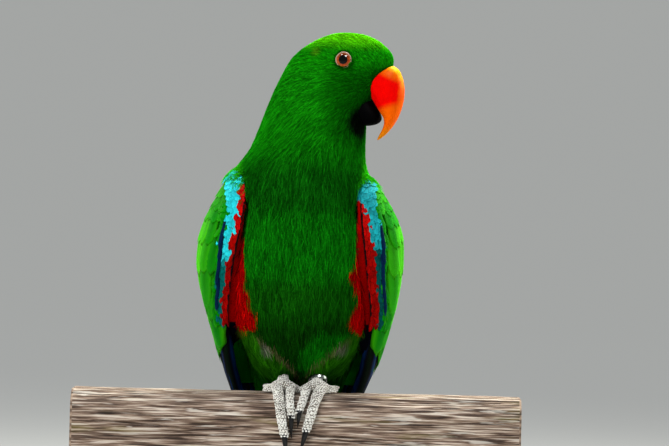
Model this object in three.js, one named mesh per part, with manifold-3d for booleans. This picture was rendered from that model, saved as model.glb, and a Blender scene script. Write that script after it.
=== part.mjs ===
// A male eclectus parrot on a short length of weathered rail, held by a plain display stand.
// Units are millimetres. The bird faces -Y, its left side is towards +X, and +Z is up.
// The origin is the centre of the base's underside.

import * as THREE from "three";
import { mergeVertices } from "three/addons/utils/BufferGeometryUtils.js";
import Module from "manifold-3d";

const wasm = await Module();
wasm.setup();

// Gap between pieces that touch, and the distance under which two corners are one.
const GAP = 0.3;
const MERGE_DISTANCE = 1e-4;

// Steps in a quarter of a rounded edge.
const CORNER_STEPS = 5;

// Display stand.
const BASE = { width: 200, depth: 172, thickness: 12, corner: 18 };
const ROD = { radius: 6, reach: 85, sides: 20 };

// The rail: its top is the height that the bird's own measures start from.
const RAIL = { length: 260, depth: 56, height: 68, corner: 14, foot: 8 };
const PERCH_TOP = 128;
const PERCH_BACK = -27;

// The point that the head turns about, and the degrees that it is turned to the bird's left.
const HEAD = { x: 22, y: -12, turn: 68 };

// Body sections from the crown down to the tail coverts. Each row is the section's height,
// its centre in x and y, its lean and turn in degrees, and its side, front and back radii.
const BODY_ROWS = [
  [209.1, 24, -12.8, 0, 68, 2.5, 4, 2.5],
  [208, 23.2, -12.5, 0, 68, 8, 12.2, 9.5],
  [205.3, 22.4, -12.2, 0, 68, 12.5, 20, 14.5],
  [202.6, 22, -12, 0, 68, 15.8, 24.8, 20],
  [198.6, 22, -12, 0, 68, 18.4, 28.9, 26],
  [194.5, 22, -12, 0, 68, 19.9, 31.3, 30.8],
  [189.2, 21.4, -11.8, 0, 68, 21, 31, 33.8],
  [182.7, 18, -10.4, 0, 68, 22, 29.5, 33.5],
  [176.8, 14, -8.8, 0, 68, 22.9, 31, 32.1],
  [170.4, 11, -7.5, 0, 67, 23.7, 31.6, 31.6],
  [164.5, 9, -6.7, 0, 66, 24.6, 29.4, 32.1],
  [158.7, 7.5, -6, 0, 60, 25.5, 30.7, 33.2],
  [152.8, 6, -5.5, 0, 52, 27, 32.6, 35],
  [146.9, 4.5, -5.2, 0, 40, 29, 35.8, 37.7],
  [141.7, 3, -5, 0, 28, 31.5, 39.4, 40.2],
  [137.5, 2, -4.8, 0, 18, 34.1, 41, 41],
  [131, -0.5, -4.3, 0, 8, 37.5, 43, 41.5],
  [124, 0, -4, 0, 3, 41, 45, 42],
  [112, 0, -3.5, 0, 0, 44, 47, 43],
  [100, 0, -3, 0, 0, 46, 48, 44.5],
  [84, 0, -1.5, 4, 0, 47, 48.5, 46],
  [66, 0, 3, 9, 0, 46, 46.5, 46],
  [48, 1, 9, 16, 0, 42.5, 42.5, 44],
  [32, 1.5, 17, 23, 0, 37.5, 35, 40],
  [18, 1.5, 26, 29, 0, 32, 23, 35],
  [6, 1, 35, 33, 0, 27.5, 10, 29],
  [-5, 0.5, 43.5, 33, 0, 25, 9, 23],
  [-17, 0, 51.5, 31, 0, 23, 9.5, 17],
  [-30, 0, 59, 29, 0, 22, 8, 12],
  [-44, 0, 66.5, 27, 0, 20, 5.5, 8],
  [-54, 0, 71.5, 27, 0, 15, 3, 5],
];
const BODY = { sides: 28, rings: 36, neckTop: 152, neckBottom: 125 };

// Wing sections from the shoulder down to the tip, for a wing on the side of positive x. Each row is
// the height, the front edge's x and y, the back edge's x and y, the thickness at the front edge and
// at the side, and the side's reach from the middle on the bird's right and on its left.
const WING_ROWS = [
  [130, 33, -6, 28, 16, 2.5, 3, 35.5, 33.5],
  [127.5, 34, -22, 24, 30, 5, 7, 40.5, 36.8],
  [121, 34, -34, 18.5, 38, 8, 14, 47, 44.3],
  [112, 33.5, -39.5, 15, 42, 9, 18, 52, 50.5],
  [100, 33, -41.5, 13, 45, 9, 20, 56.4, 56.2],
  [88, 33.5, -40, 12, 47.5, 9, 20, 58.3, 58.3],
  [74, 35, -34.5, 11, 50.5, 9, 20, 58.3, 57.8],
  [58, 37, -22.5, 10.5, 56, 9, 18, 56.3, 57],
  [43, 38, -9, 10, 60.5, 9, 15, 53.4, 55.2],
  [26, 38, 6, 9, 65, 7, 10, 49, 51],
  [12, 37.5, 18, 8.5, 69, 5, 6, 45, 46.4],
  [0, 35, 29.5, 8, 72.5, 4, 4.5, 40.4, 40.8],
  [-12, 32, 38, 7.5, 76.5, 3.2, 3.6, 37, 37],
  [-28, 28, 50, 7, 81, 2.6, 3, 32, 32],
  [-45, 24, 64, 6.5, 85.5, 2.2, 2.6, 27, 27],
  [-60, 18.5, 78.5, 7, 88.5, 2, 2.2, 21.5, 21.5],
  [-68, 15, 85.5, 8.5, 90.5, 1.6, 1.8, 16.8, 16.8],
];
const WING = { arcSteps: 9, rings: 20, backThickness: 1.4, leastBulge: 1 };

// Tail: a shallow fan from inside the coverts to its rounded end.
const TAIL_ROWS = [
  [-22, 56, 14, 3.2],
  [-40, 66, 20, 3.2],
  [-60, 76.4, 24, 2.9],
  [-80, 86.4, 27, 2.4],
  [-94, 93.2, 28, 2],
  [-101, 96.6, 25.5, 1.6],
  [-105.5, 98.8, 19, 1.2],
];
const TAIL = { sides: 14, rings: 9, lean: 27, arch: 5, archHalfWidth: 28 };

// Thigh feathers: centre and radius from inside the flank down to the heel, on the side of positive x.
const THIGH_ROWS = [
  [23, 0, 42, 12],
  [19.5, -5.5, 28, 12.5],
  [14.5, -5.5, 19, 9.8],
  [10.5, -2, 13.5, 6.4],
  [9.5, 0, 10.8, 3.2],
];
const THIGH = { sides: 12, rings: 8, heelX: 10.5 };

// Shank, pad and leg ring. The shank goes from the foot up to the heel, which is a little further out.
const SHANK = {
  radius: 3.3,
  footY: -14,
  footZ: 4.7,
  heelOut: 0.6,
  heelY: 6,
  heelZ: 12.5,
  sides: 10,
  rings: 3,
};
const PAD = { side: 6.2, front: 5.6, up: 4, sides: 10 };
const LEG_RING = { outer: 5.6, inner: 4.8, width: 3.6, out: 0.3, y: -6.4, z: 6.9, tip: 28, sides: 20 };

// One toe: its way over the rail (-1 over the front edge, 1 over the back one), how far past the start
// of the rounded edge it begins and ends, its x at the root, the middle and the end, its radius at the
// root and the end, and its claw's x at the tip and length.
const toe = (name, way, [from, to], x, r, clawX, claw) => ({ name, way, from, to, x, r, clawX, claw });
const FEET = {
  right: {
    x: -7.8,
    toes: [
      toe("toe_outer_front", -1, [-0.5, 36], [-9.6, -9.6, -6.1], [3.6, 2.7], -4.2, 10.5),
      toe("toe_inner_front", -1, [-0.5, 24.4], [-4.4, -3.6, -2.8], [2.9, 2.3], -1.9, 10.5),
      toe("toe_outer_back", 1, [-27.5, -6], [-11, -16, -17.4], [3.3, 2.7], -17, 10),
      toe("toe_inner_back", 1, [-27.5, -14], [-5, -2.4, -1.2], [2.7, 2.3], -0.6, 7),
    ],
  },
  left: {
    x: 11.6,
    toes: [
      toe("toe_outer_front", -1, [-0.5, 32.5], [12.8, 10.4, 6.2], [3.6, 2.7], 3, 11),
      toe("toe_inner_front", -1, [-0.5, 21.5], [8, 5.4, 3], [2.9, 2.3], 1.4, 7),
      toe("toe_outer_back", 1, [-27.5, -6], [15, 20.2, 21.9], [3.3, 2.7], 22.4, 10),
      toe("toe_inner_back", 1, [-27.5, -14], [8.8, 6.2, 5.4], [2.7, 2.3], 5.2, 7),
    ],
  },
};
const TOE = { sides: 8, rings: 7, knuckle: 0.07, joints: 3, rootShare: 0.45, rootRise: 4.4 };
// A claw starts inside its toe's end, thins to its tip, and humps up before it comes down to the rail.
const CLAW = {
  sides: 6,
  rings: 5,
  root: 0.78,
  tip: 0.28,
  hump: 1.1,
  lift: 0.5,
  inset: 1.6,
  thinning: 1.2,
  drop: 1.6,
};

// Upper bill in the head's own plane: outer and inner profile points (forward, height) and half width.
const BILL_UPPER_ROWS = [
  [22, 189, 10, 174, 8.6],
  [32.3, 190.6, 18.5, 171, 9.8],
  [35.8, 186, 20.8, 168, 9.9],
  [37.8, 180, 22.8, 165, 9.3],
  [38, 172.8, 25, 162, 8.2],
  [36.6, 165.8, 26.8, 159.6, 6.8],
  [33.8, 158.8, 27.2, 156.2, 5.2],
  [29.8, 153, 26, 153.4, 3.6],
  [26.4, 149.9, 24.2, 150.6, 2.1],
  [23.6, 147.9, 22.8, 148.2, 0.7],
];
// Lower bill in the same plane: lower and upper profile points and half width.
const BILL_LOWER_ROWS = [
  [8, 156.5, 6, 171, 7.6],
  [15, 154.2, 16, 171, 8.4],
  [19.5, 154.3, 20.5, 167, 7.8],
  [22.6, 155.2, 23.6, 161.8, 6],
  [24.2, 156.2, 24.9, 158.8, 3.4],
];
const BILL = { sides: 12, rings: 12 };

// Eyeballs in the head's own plane.
const EYE = { forward: 7.2, height: 193.6, side: 15.4, radius: 5.6, sides: 12, rings: 8 };

// Side of the box that stands for all of space where the body is parted.
const PARTING_BOX = 1200;

// One colour and surface for each kind of piece.
const finish = (color, roughness, metalness = 0) =>
  new THREE.MeshStandardMaterial({ color, roughness, metalness });
const GREEN = finish(0x0f6a14, 0.75);
const WING_GREEN = finish(0x128c1c, 0.65);
const TAIL_GREEN = finish(0x1a6a2a, 0.65);
const BILL_RED = finish(0xf2401a, 0.3);
const BILL_BLACK = finish(0x17120f, 0.35);
const EYE_BROWN = finish(0x6e3012, 0.1);
const SHANK_GREY = finish(0xa9a89c, 0.7);
const CLAW_BLACK = finish(0x23211f, 0.35);
const RING_METAL = finish(0xb8bcbc, 0.3, 1);
const WOOD = finish(0x8b7565, 0.85);
const STAND_BLACK = finish(0x2b2b2d, 0.5);

// Mesh and solid conversions.

// The closed solid of a geometry whose shared corners may be doubled.
function solidOf(geometry) {
  const bare = geometry.clone();
  bare.deleteAttribute("normal");
  bare.deleteAttribute("uv");
  const merged = mergeVertices(bare, MERGE_DISTANCE);
  return new wasm.Manifold(
    new wasm.Mesh({
      numProp: 3,
      vertProperties: new Float32Array(merged.attributes.position.array),
      triVerts: new Uint32Array(merged.index.array),
    }),
  );
}

// The named mesh of a finished solid.
function meshOf(name, solid, material) {
  const { vertProperties, triVerts } = solid.getMesh();
  const geometry = new THREE.BufferGeometry();
  geometry.setAttribute("position", new THREE.BufferAttribute(vertProperties, 3));
  geometry.setIndex(new THREE.BufferAttribute(triVerts, 1));
  geometry.computeVertexNormals();
  const mesh = new THREE.Mesh(geometry, material);
  mesh.name = name;
  return mesh;
}

// A closed solid through rings of points that all have the same number of corners.
function loft(rings) {
  const sides = rings[0].length;
  const positions = rings.flat().flatMap((p) => [p.x, p.y, p.z]);
  const index = [];
  for (let ring = 0; ring < rings.length - 1; ring += 1) {
    for (let side = 0; side < sides; side += 1) {
      const next = (side + 1) % sides;
      const a = ring * sides + side;
      const b = ring * sides + next;
      index.push(a, b, b + sides, a, b + sides, a + sides);
    }
  }
  const addCap = (ring, facing) => {
    const centre = new THREE.Vector3();
    rings[ring].forEach((p) => centre.addScaledVector(p, 1 / sides));
    positions.push(centre.x, centre.y, centre.z);
    const middle = positions.length / 3 - 1;
    for (let side = 0; side < sides; side += 1) {
      const a = ring * sides + side;
      const b = ring * sides + ((side + 1) % sides);
      index.push(...(facing ? [middle, b, a] : [middle, a, b]));
    }
  };
  addCap(0, true);
  addCap(rings.length - 1, false);
  const geometry = new THREE.BufferGeometry();
  geometry.setAttribute("position", new THREE.Float32BufferAttribute(positions, 3));
  geometry.setIndex(signedVolume(positions, index) < 0 ? index.reverse() : index);
  return solidOf(geometry);
}

// Six times the volume that the triangles enclose, negative where they face inwards.
function signedVolume(positions, index) {
  const corner = (i) => new THREE.Vector3().fromArray(positions, 3 * index[i]);
  let sum = 0;
  for (let i = 0; i < index.length; i += 3) {
    sum += corner(i).dot(corner(i + 1).cross(corner(i + 2)));
  }
  return sum;
}

// Rows of numbers read at a share from 0 to 1 of the way down, on one smooth curve.
function smoothRows(rows) {
  const keys = rows.map((_, i) => i / (rows.length - 1));
  const curve = new THREE.CubicInterpolant(keys, rows.flat(), rows[0].length);
  return (share) => Array.from(curve.evaluate(share));
}

// Evenly spaced shares from 0 to 1.
const shares = (count) => Array.from({ length: count }, (_, i) => i / (count - 1));

// A point of the bird, given from the rail's top at the middle of its depth.
const fromRail = (x, y, z) => new THREE.Vector3(x, PERCH_BACK + y, PERCH_TOP + z);

// A point of the head, given forward along the bill, to the head's right, and in height.
function fromHead(forward, right, z) {
  const turn = THREE.MathUtils.degToRad(HEAD.turn);
  const x = HEAD.x + forward * Math.sin(turn) - right * Math.cos(turn);
  const y = HEAD.y - forward * Math.cos(turn) - right * Math.sin(turn);
  return fromRail(x, y, z);
}

// A ring of points round a centre, with half widths along two directions.
function ringAbout(centre, across, up, acrossRadius, upRadius, sides) {
  return Array.from({ length: sides }, (_, i) => {
    const angle = (2 * Math.PI * i) / sides;
    return centre
      .clone()
      .addScaledVector(across, acrossRadius * Math.cos(angle))
      .addScaledVector(up, upRadius * Math.sin(angle));
  });
}

// A round tube through centres with a radius each, its sections square to the path.
function tube(centres, radii, sides) {
  const sideways = new THREE.Vector3(1, 0, 0);
  const rings = centres.map((centre, i) => {
    const before = centres[Math.max(i - 1, 0)];
    const after = centres[Math.min(i + 1, centres.length - 1)];
    const along = after.clone().sub(before).normalize();
    const across = sideways.clone().addScaledVector(along, -along.dot(sideways)).normalize();
    return ringAbout(centre, across, along.clone().cross(across), radii[i], radii[i], sides);
  });
  return loft(rings);
}

// The head, neck and trunk as one form, grown outwards by the given distance.
function bodyForm(grow) {
  const at = smoothRows(BODY_ROWS);
  const rings = shares(BODY.rings).map((share) => {
    const [z, x, y, lean, turn, side, front, back] = at(share);
    const turnBy = new THREE.Euler(
      THREE.MathUtils.degToRad(lean),
      0,
      THREE.MathUtils.degToRad(turn),
      "XYZ",
    );
    return Array.from({ length: BODY.sides }, (_, i) => {
      const angle = (2 * Math.PI * i) / BODY.sides;
      const reach = Math.cos(angle) > 0 ? front : back;
      const point = new THREE.Vector3(
        (side + grow) * Math.sin(angle),
        -(reach + grow) * Math.cos(angle),
        0,
      );
      return point.applyEuler(turnBy).add(fromRail(x, y, z));
    });
  });
  return loft(rings);
}

// All of space between two heights above the rail's top.
function slab(bottom, top) {
  const box = new THREE.BoxGeometry(PARTING_BOX, PARTING_BOX, top - bottom);
  box.translate(0, 0, PERCH_TOP + (top + bottom) / 2);
  return solidOf(box);
}

// One wing, folded, before the body is cut out of it. Side is -1 for the bird's right, 1 for its left.
function wingForm(side) {
  const at = smoothRows(WING_ROWS);
  const rings = shares(WING.rings).map((share) => {
    const [z, frontX, frontY, backX, backY, frontThick, sideThick, reachRight, reachLeft] = at(share);
    const reach = side < 0 ? reachRight : reachLeft;
    const outer = wingArc([frontX, frontY], [backX, backY], reach);
    const inner = wingArc(
      [frontX, frontY + frontThick],
      [backX, backY - WING.backThickness],
      reach - sideThick,
    );
    return [...outer, ...inner.reverse()].map(([x, y]) => fromRail(side * x, y, z));
  });
  return loft(rings);
}

// Points on a half oval between a front and a back point that bulges out to the given reach.
function wingArc([frontX, frontY], [backX, backY], reach) {
  const halfX = (backX - frontX) / 2;
  const halfY = (backY - frontY) / 2;
  const middleX = (backX + frontX) / 2;
  const middleY = (backY + frontY) / 2;
  const bulge = Math.sqrt(Math.max((reach - middleX) ** 2 - halfX ** 2, WING.leastBulge));
  return shares(WING.arcSteps).map((share) => {
    const angle = Math.PI * (share - 0.5);
    const x = middleX + halfX * Math.sin(angle) + bulge * Math.cos(angle);
    return [x, middleY + halfY * Math.sin(angle)];
  });
}

// The tail fan, arched across its width.
function tailForm(grow) {
  const at = smoothRows(TAIL_ROWS);
  const lean = THREE.MathUtils.degToRad(TAIL.lean);
  const outward = new THREE.Vector3(0, Math.cos(lean), Math.sin(lean));
  const rings = shares(TAIL.rings).map((share) => {
    const [z, y, half, thick] = at(share);
    return Array.from({ length: TAIL.sides }, (_, i) => {
      const angle = (2 * Math.PI * i) / TAIL.sides;
      const x = (half + grow) * Math.cos(angle);
      const sag = TAIL.arch * (x / TAIL.archHalfWidth) ** 2;
      const out = (thick + grow) * Math.sin(angle) - sag;
      return fromRail(x, y, z).addScaledVector(outward, out);
    });
  });
  return loft(rings);
}

// One thigh's feathering, before the trunk is cut out of it.
function thighForm(foot, side, grow) {
  const at = smoothRows(THIGH_ROWS);
  const shift = foot.x - side * THIGH.heelX;
  const rows = shares(THIGH.rings).map((share) => [share, ...at(share)]);
  const centres = rows.map(([share, x, y, z]) => fromRail(side * x + shift * share, y, z));
  return tube(centres, rows.map((row) => row[4] + grow), THIGH.sides);
}

// The scaled shank with the pad that its toes grow from.
function shankForm(foot, grow) {
  const centres = shares(SHANK.rings).map((share) =>
    fromRail(
      foot.x + SHANK.heelOut * Math.sign(foot.x) * share,
      THREE.MathUtils.lerp(SHANK.footY, SHANK.heelY, share),
      THREE.MathUtils.lerp(SHANK.footZ, SHANK.heelZ, share),
    ),
  );
  const shank = tube(centres, centres.map(() => SHANK.radius + grow), SHANK.sides);
  const pad = new THREE.SphereGeometry(1, PAD.sides, PAD.sides / 2);
  pad.scale(PAD.side + grow, PAD.front + grow, PAD.up + grow);
  pad.translate(foot.x, PERCH_BACK + SHANK.footY, PERCH_TOP + SHANK.footZ - GAP);
  return shank.add(solidOf(pad));
}

// A point at a height above the rail's surface, a distance past the start of its rounded top edge.
// Way is -1 over the front edge and 1 over the back edge.
function overRail(x, distance, height, way) {
  const edge = RAIL.depth / 2 - RAIL.corner;
  const radius = RAIL.corner + height;
  const quarter = (radius * Math.PI) / 2;
  if (distance < 0) {
    return fromRail(x, way * (edge + distance), height);
  }
  if (distance < quarter) {
    const angle = distance / radius;
    return fromRail(x, way * (edge + radius * Math.sin(angle)), radius * Math.cos(angle) - RAIL.corner);
  }
  return fromRail(x, way * (edge + radius), quarter - distance - RAIL.corner);
}

// One toe, with a slight swelling at each joint.
function toeForm(digit, grow) {
  const bend = new THREE.QuadraticBezierCurve(
    new THREE.Vector2(0, digit.x[0]),
    new THREE.Vector2(0.5, digit.x[1]),
    new THREE.Vector2(1, digit.x[2]),
  );
  const centres = [];
  const radii = [];
  shares(TOE.rings).forEach((share) => {
    const swell = 1 + TOE.knuckle * Math.cos(2 * Math.PI * TOE.joints * share);
    const root = Math.min(1, TOE.rootShare + TOE.rootRise * share);
    const radius = THREE.MathUtils.lerp(digit.r[0], digit.r[1], share) * swell * root;
    const distance = THREE.MathUtils.lerp(digit.from, digit.to, share);
    centres.push(overRail(bend.getPoint(share).y, distance, radius + GAP, digit.way));
    radii.push(radius + grow);
  });
  return tube(centres, radii, TOE.sides);
}

// The claw that goes on from a toe's end and curves down to the rail.
function clawForm(digit) {
  const start = digit.to - CLAW.inset;
  const end = digit.to + digit.claw;
  const root = digit.r[1] * CLAW.root;
  const centres = [];
  const radii = [];
  shares(CLAW.rings).forEach((share) => {
    const radius = THREE.MathUtils.lerp(root, CLAW.tip, share ** CLAW.thinning);
    const low = THREE.MathUtils.lerp(digit.r[1] + GAP, CLAW.tip + CLAW.lift, share ** CLAW.drop);
    const height = low + CLAW.hump * Math.sin(Math.PI * share);
    const x = THREE.MathUtils.lerp(digit.x[2], digit.clawX, share);
    centres.push(overRail(x, THREE.MathUtils.lerp(start, end, share), height, digit.way));
    radii.push(radius);
  });
  return tube(centres, radii, CLAW.sides);
}

// A bill half from profile rows, rounded on the outer side and flatter on the inner side.
function billForm(rows, grow) {
  const at = smoothRows(rows);
  const rings = shares(BILL.rings).map((share) => {
    const [outerF, outerZ, innerF, innerZ, half] = at(share);
    const middle = new THREE.Vector2((outerF + innerF) / 2, (outerZ + innerZ) / 2);
    const arm = new THREE.Vector2(outerF - innerF, outerZ - innerZ).multiplyScalar(0.5);
    arm.setLength(arm.length() + grow);
    return Array.from({ length: BILL.sides }, (_, i) => {
      const angle = (2 * Math.PI * i) / BILL.sides;
      const out = Math.cos(angle);
      const right = (half + grow) * Math.sin(angle);
      return fromHead(middle.x + arm.x * out, right, middle.y + arm.y * out);
    });
  });
  return loft(rings);
}

// A ball at an eye's place. Right is 1 for the head's right and -1 for its left.
function eyeForm(right, grow) {
  const ball = new THREE.SphereGeometry(EYE.radius + grow, EYE.sides, EYE.rings);
  ball.rotateX(Math.PI / 2);
  const centre = fromHead(EYE.forward, right * EYE.side, EYE.height);
  ball.translate(centre.x, centre.y, centre.z);
  return solidOf(ball);
}

// The closed metal ring round one shank, grown to a plain drum where it is cut out of the toes.
function legRingForm(foot, grow) {
  const bore = grow > 0 ? 0 : LEG_RING.inner;
  const half = LEG_RING.width / 2 + grow;
  const outer = LEG_RING.outer + grow;
  const profile = bore > 0
    ? [[bore, -half], [outer, -half], [outer, half], [bore, half], [bore, -half]]
    : [[0, -half], [outer, -half], [outer, half], [0, half]];
  const ring = new THREE.LatheGeometry(
    profile.map(([r, h]) => new THREE.Vector2(r, h)),
    LEG_RING.sides,
  );
  ring.rotateX(THREE.MathUtils.degToRad(LEG_RING.tip));
  ring.translate(foot.x + LEG_RING.out, PERCH_BACK + LEG_RING.y, PERCH_TOP + LEG_RING.z);
  return solidOf(ring);
}

// The rail's outline across its length, with rounded long edges.
function railOutline(grow) {
  const half = RAIL.depth / 2 + grow;
  const top = grow;
  const bottom = -RAIL.height - grow;
  const round = RAIL.corner + grow;
  const shape = new THREE.Shape();
  shape.moveTo(-half, bottom + RAIL.foot);
  shape.lineTo(-half, top - round);
  shape.absarc(-half + round, top - round, round, Math.PI, Math.PI / 2, true);
  shape.lineTo(half - round, top);
  shape.absarc(half - round, top - round, round, Math.PI / 2, 0, true);
  shape.lineTo(half, bottom + RAIL.foot);
  shape.absarc(half - RAIL.foot, bottom + RAIL.foot, RAIL.foot, 0, -Math.PI / 2, true);
  shape.lineTo(-half + RAIL.foot, bottom);
  shape.absarc(-half + RAIL.foot, bottom + RAIL.foot, RAIL.foot, -Math.PI / 2, -Math.PI, true);
  return shape;
}

// The cut length of rail.
function railForm(grow) {
  const rail = new THREE.ExtrudeGeometry(railOutline(grow), {
    depth: RAIL.length,
    bevelEnabled: false,
    curveSegments: CORNER_STEPS,
  });
  rail.translate(0, 0, -RAIL.length / 2);
  rail.rotateX(Math.PI / 2);
  rail.rotateZ(Math.PI / 2);
  rail.translate(0, PERCH_BACK, PERCH_TOP);
  return solidOf(rail);
}

// The flat base with rounded corners.
function baseForm() {
  const halfX = BASE.width / 2;
  const halfY = BASE.depth / 2;
  const shape = new THREE.Shape();
  const corners = [[1, 1, 0], [-1, 1, 90], [-1, -1, 180], [1, -1, 270]];
  corners.forEach(([x, y, start]) => {
    const from = THREE.MathUtils.degToRad(start);
    const centreX = x * (halfX - BASE.corner);
    const centreY = y * (halfY - BASE.corner);
    shape.absarc(centreX, centreY, BASE.corner, from, from + Math.PI / 2, false);
  });
  shape.closePath();
  const base = new THREE.ExtrudeGeometry(shape, {
    depth: BASE.thickness,
    bevelEnabled: false,
    curveSegments: CORNER_STEPS,
  });
  return solidOf(base);
}

// One upright rod between the base and the rail.
function rodForm(side) {
  const bottom = BASE.thickness + GAP;
  const top = PERCH_TOP - RAIL.height - GAP;
  const rod = new THREE.CylinderGeometry(ROD.radius, ROD.radius, top - bottom, ROD.sides);
  rod.rotateX(Math.PI / 2);
  rod.translate(side * ROD.reach, PERCH_BACK, (top + bottom) / 2);
  return solidOf(rod);
}

// The nodes of the whole object.
function buildPieces() {
  const pieces = [];
  const keep = (name, solid, material) => pieces.push(meshOf(name, solid, material));

  const eyeRight = eyeForm(1, 0);
  const eyeLeft = eyeForm(-1, 0);
  const body = bodyForm(0);
  const bodyGrown = bodyForm(GAP);
  const billUpper = billForm(BILL_UPPER_ROWS, 0).subtract(bodyGrown);
  const billLower = billForm(BILL_LOWER_ROWS, 0)
    .subtract(bodyGrown)
    .subtract(billForm(BILL_UPPER_ROWS, GAP));
  const head = body
    .intersect(slab(BODY.neckTop + GAP / 2, BODY.neckTop + PARTING_BOX))
    .subtract(eyeForm(1, GAP))
    .subtract(eyeForm(-1, GAP));
  keep("head", head, GREEN);
  keep("neck", body.intersect(slab(BODY.neckBottom + GAP / 2, BODY.neckTop - GAP / 2)), GREEN);
  const ringGrown = legRingForm(FEET.left, GAP);
  const trunk = body.intersect(slab(-PARTING_BOX, BODY.neckBottom - GAP / 2)).subtract(ringGrown);
  keep("trunk", trunk, GREEN);
  keep("bill_upper", billUpper, BILL_RED);
  keep("bill_lower", billLower, BILL_BLACK);
  keep("eye_right", eyeRight, EYE_BROWN);
  keep("eye_left", eyeLeft, EYE_BROWN);

  keep("tail", tailForm(0).subtract(bodyGrown), TAIL_GREEN);
  const tailGrown = tailForm(GAP);
  const rail = railForm(0);
  const railGrown = railForm(GAP / 2);
  const sides = [["right", -1], ["left", 1]];
  sides.forEach(([word, side]) => {
    const wing = wingForm(side).subtract(bodyGrown).subtract(tailGrown);
    keep(`wing_${word}`, wing, WING_GREEN);
  });

  keep("leg_ring", legRingForm(FEET.left, 0), RING_METAL);
  sides.forEach(([word, side]) => {
    const foot = FEET[word];
    const thighGrown = thighForm(foot, side, GAP);
    keep(`thigh_${word}`, thighForm(foot, side, 0).subtract(bodyGrown).subtract(ringGrown), GREEN);
    const shank = shankForm(foot, 0).subtract(thighGrown).subtract(bodyGrown);
    keep(`shank_${word}`, shank.subtract(railGrown), SHANK_GREY);
    const shankGrown = shankForm(foot, GAP);
    let taken = shankGrown.add(railGrown);
    if (foot === FEET.left) {
      taken = taken.add(ringGrown);
    }
    foot.toes.forEach((digit) => {
      const toeSolid = toeForm(digit, 0).subtract(taken);
      const toeGrown = toeForm(digit, GAP);
      keep(`${digit.name}_${word}`, toeSolid, SHANK_GREY);
      keep(`${digit.name.replace("toe", "claw")}_${word}`, clawForm(digit).subtract(toeGrown), CLAW_BLACK);
      taken = taken.add(toeGrown);
    });
  });

  keep("perch", rail, WOOD);
  keep("stand_base", baseForm(), STAND_BLACK);
  keep("stand_rod_right", rodForm(-1), STAND_BLACK);
  keep("stand_rod_left", rodForm(1), STAND_BLACK);
  return pieces;
}

const group = new THREE.Group();
buildPieces().forEach((mesh) => group.add(mesh));
export default group;
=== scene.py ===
"""A life-size male eclectus parrot on a short rail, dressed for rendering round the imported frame.

Every place and size comes from the frame. Blender lengths are metres. Measures of the bird are
millimetres from the middle of the rail's top, with the breast towards -Y and its left side at +X.
"""

import logging
import math
from dataclasses import dataclass
from enum import Enum
from typing import Any

import bmesh
import bpy
import numpy as np
from mathutils import Matrix, Vector
from mathutils.bvhtree import BVHTree


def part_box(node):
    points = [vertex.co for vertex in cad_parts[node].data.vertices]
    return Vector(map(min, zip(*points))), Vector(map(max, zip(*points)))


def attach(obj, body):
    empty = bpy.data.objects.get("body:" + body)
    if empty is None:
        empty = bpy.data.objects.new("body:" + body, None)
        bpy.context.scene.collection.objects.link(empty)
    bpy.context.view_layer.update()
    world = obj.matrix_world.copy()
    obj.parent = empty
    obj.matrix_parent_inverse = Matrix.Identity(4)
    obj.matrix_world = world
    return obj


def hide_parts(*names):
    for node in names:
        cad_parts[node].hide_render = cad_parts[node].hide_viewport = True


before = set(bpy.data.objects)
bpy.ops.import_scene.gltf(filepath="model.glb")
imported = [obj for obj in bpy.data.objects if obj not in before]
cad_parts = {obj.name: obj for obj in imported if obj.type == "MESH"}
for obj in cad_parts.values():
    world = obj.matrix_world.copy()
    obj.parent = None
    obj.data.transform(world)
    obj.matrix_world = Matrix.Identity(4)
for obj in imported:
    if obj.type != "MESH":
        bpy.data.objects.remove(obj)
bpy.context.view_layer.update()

Array = np.ndarray
Colour = tuple[float, float, float]
Form = tuple[Array, list[Array]]
Object = bpy.types.Object
Mesh = bpy.types.Mesh
Material = bpy.types.Material
BODY = "root"
MM = 0.001
NOISE_VALUES = 4096
NOISE_STRIDES = np.array([73856093, 19349663, 83492791])
FLESH = ("head", "neck", "trunk", "thigh_right", "thigh_left", "wing_right", "wing_left")


class Tract(Enum):
    """The kinds of plumage that cover the body."""

    HEAD = 0
    NECK = 1
    TRUNK = 2
    THIGH = 3
    WING = 4


TRACT_OF_NODE = (Tract.HEAD, Tract.NECK, Tract.TRUNK, Tract.THIGH, Tract.THIGH, Tract.WING, Tract.WING)


class Side(Enum):
    """The bird's own right, towards -X, and its left."""

    RIGHT = -1
    LEFT = 1

    @property
    def word(self) -> str:
        """The side's word in the node names."""
        return self.name.lower()


def srgb(red: float, green: float, blue: float) -> Colour:
    """Linear colour of screen values from 0 to 255."""
    shares = (value / 255 for value in (red, green, blue))
    return tuple(s / 12.92 if s < 0.04045 else ((s + 0.055) / 1.055) ** 2.4 for s in shares)


def smooth_step(low: float, high: float, values: Array) -> Array:
    """0 below low, 1 above high, and a soft rise between."""
    share = np.clip((values - low) / (high - low), 0, 1)
    return share * share * (3 - 2 * share)


def blend(first: Array, second: Array | Colour, share: Array) -> Array:
    """Rows of first turned to second by a share for each row."""
    return first + (np.asarray(second) - first) * np.asarray(share)[..., None]


def unit(vectors: Array) -> Array:
    """Vectors along the last axis, each brought to length one."""
    return vectors / np.maximum(np.linalg.norm(vectors, axis=-1, keepdims=True), 1e-12)


def along_table(values: Array, table: tuple[tuple[float, float], ...]) -> Array:
    """Values read along a table of pairs."""
    return np.interp(values, *np.array(table).T)


def along_line(wanted: Array, reach: Array, rows: Array) -> Array:
    """Rows read at wanted distances between their own distances."""
    return np.stack([np.interp(wanted, reach, column) for column in rows.T], axis=1)


def evened(line: Array, count: int, endpoint: bool = True) -> Array:
    """Places at even steps along a line of places."""
    reach = np.concatenate([[0], np.cumsum(np.linalg.norm(np.diff(line, axis=0), axis=1))])
    return along_line(np.linspace(0, reach[-1], count, endpoint=endpoint), reach, line)


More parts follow.
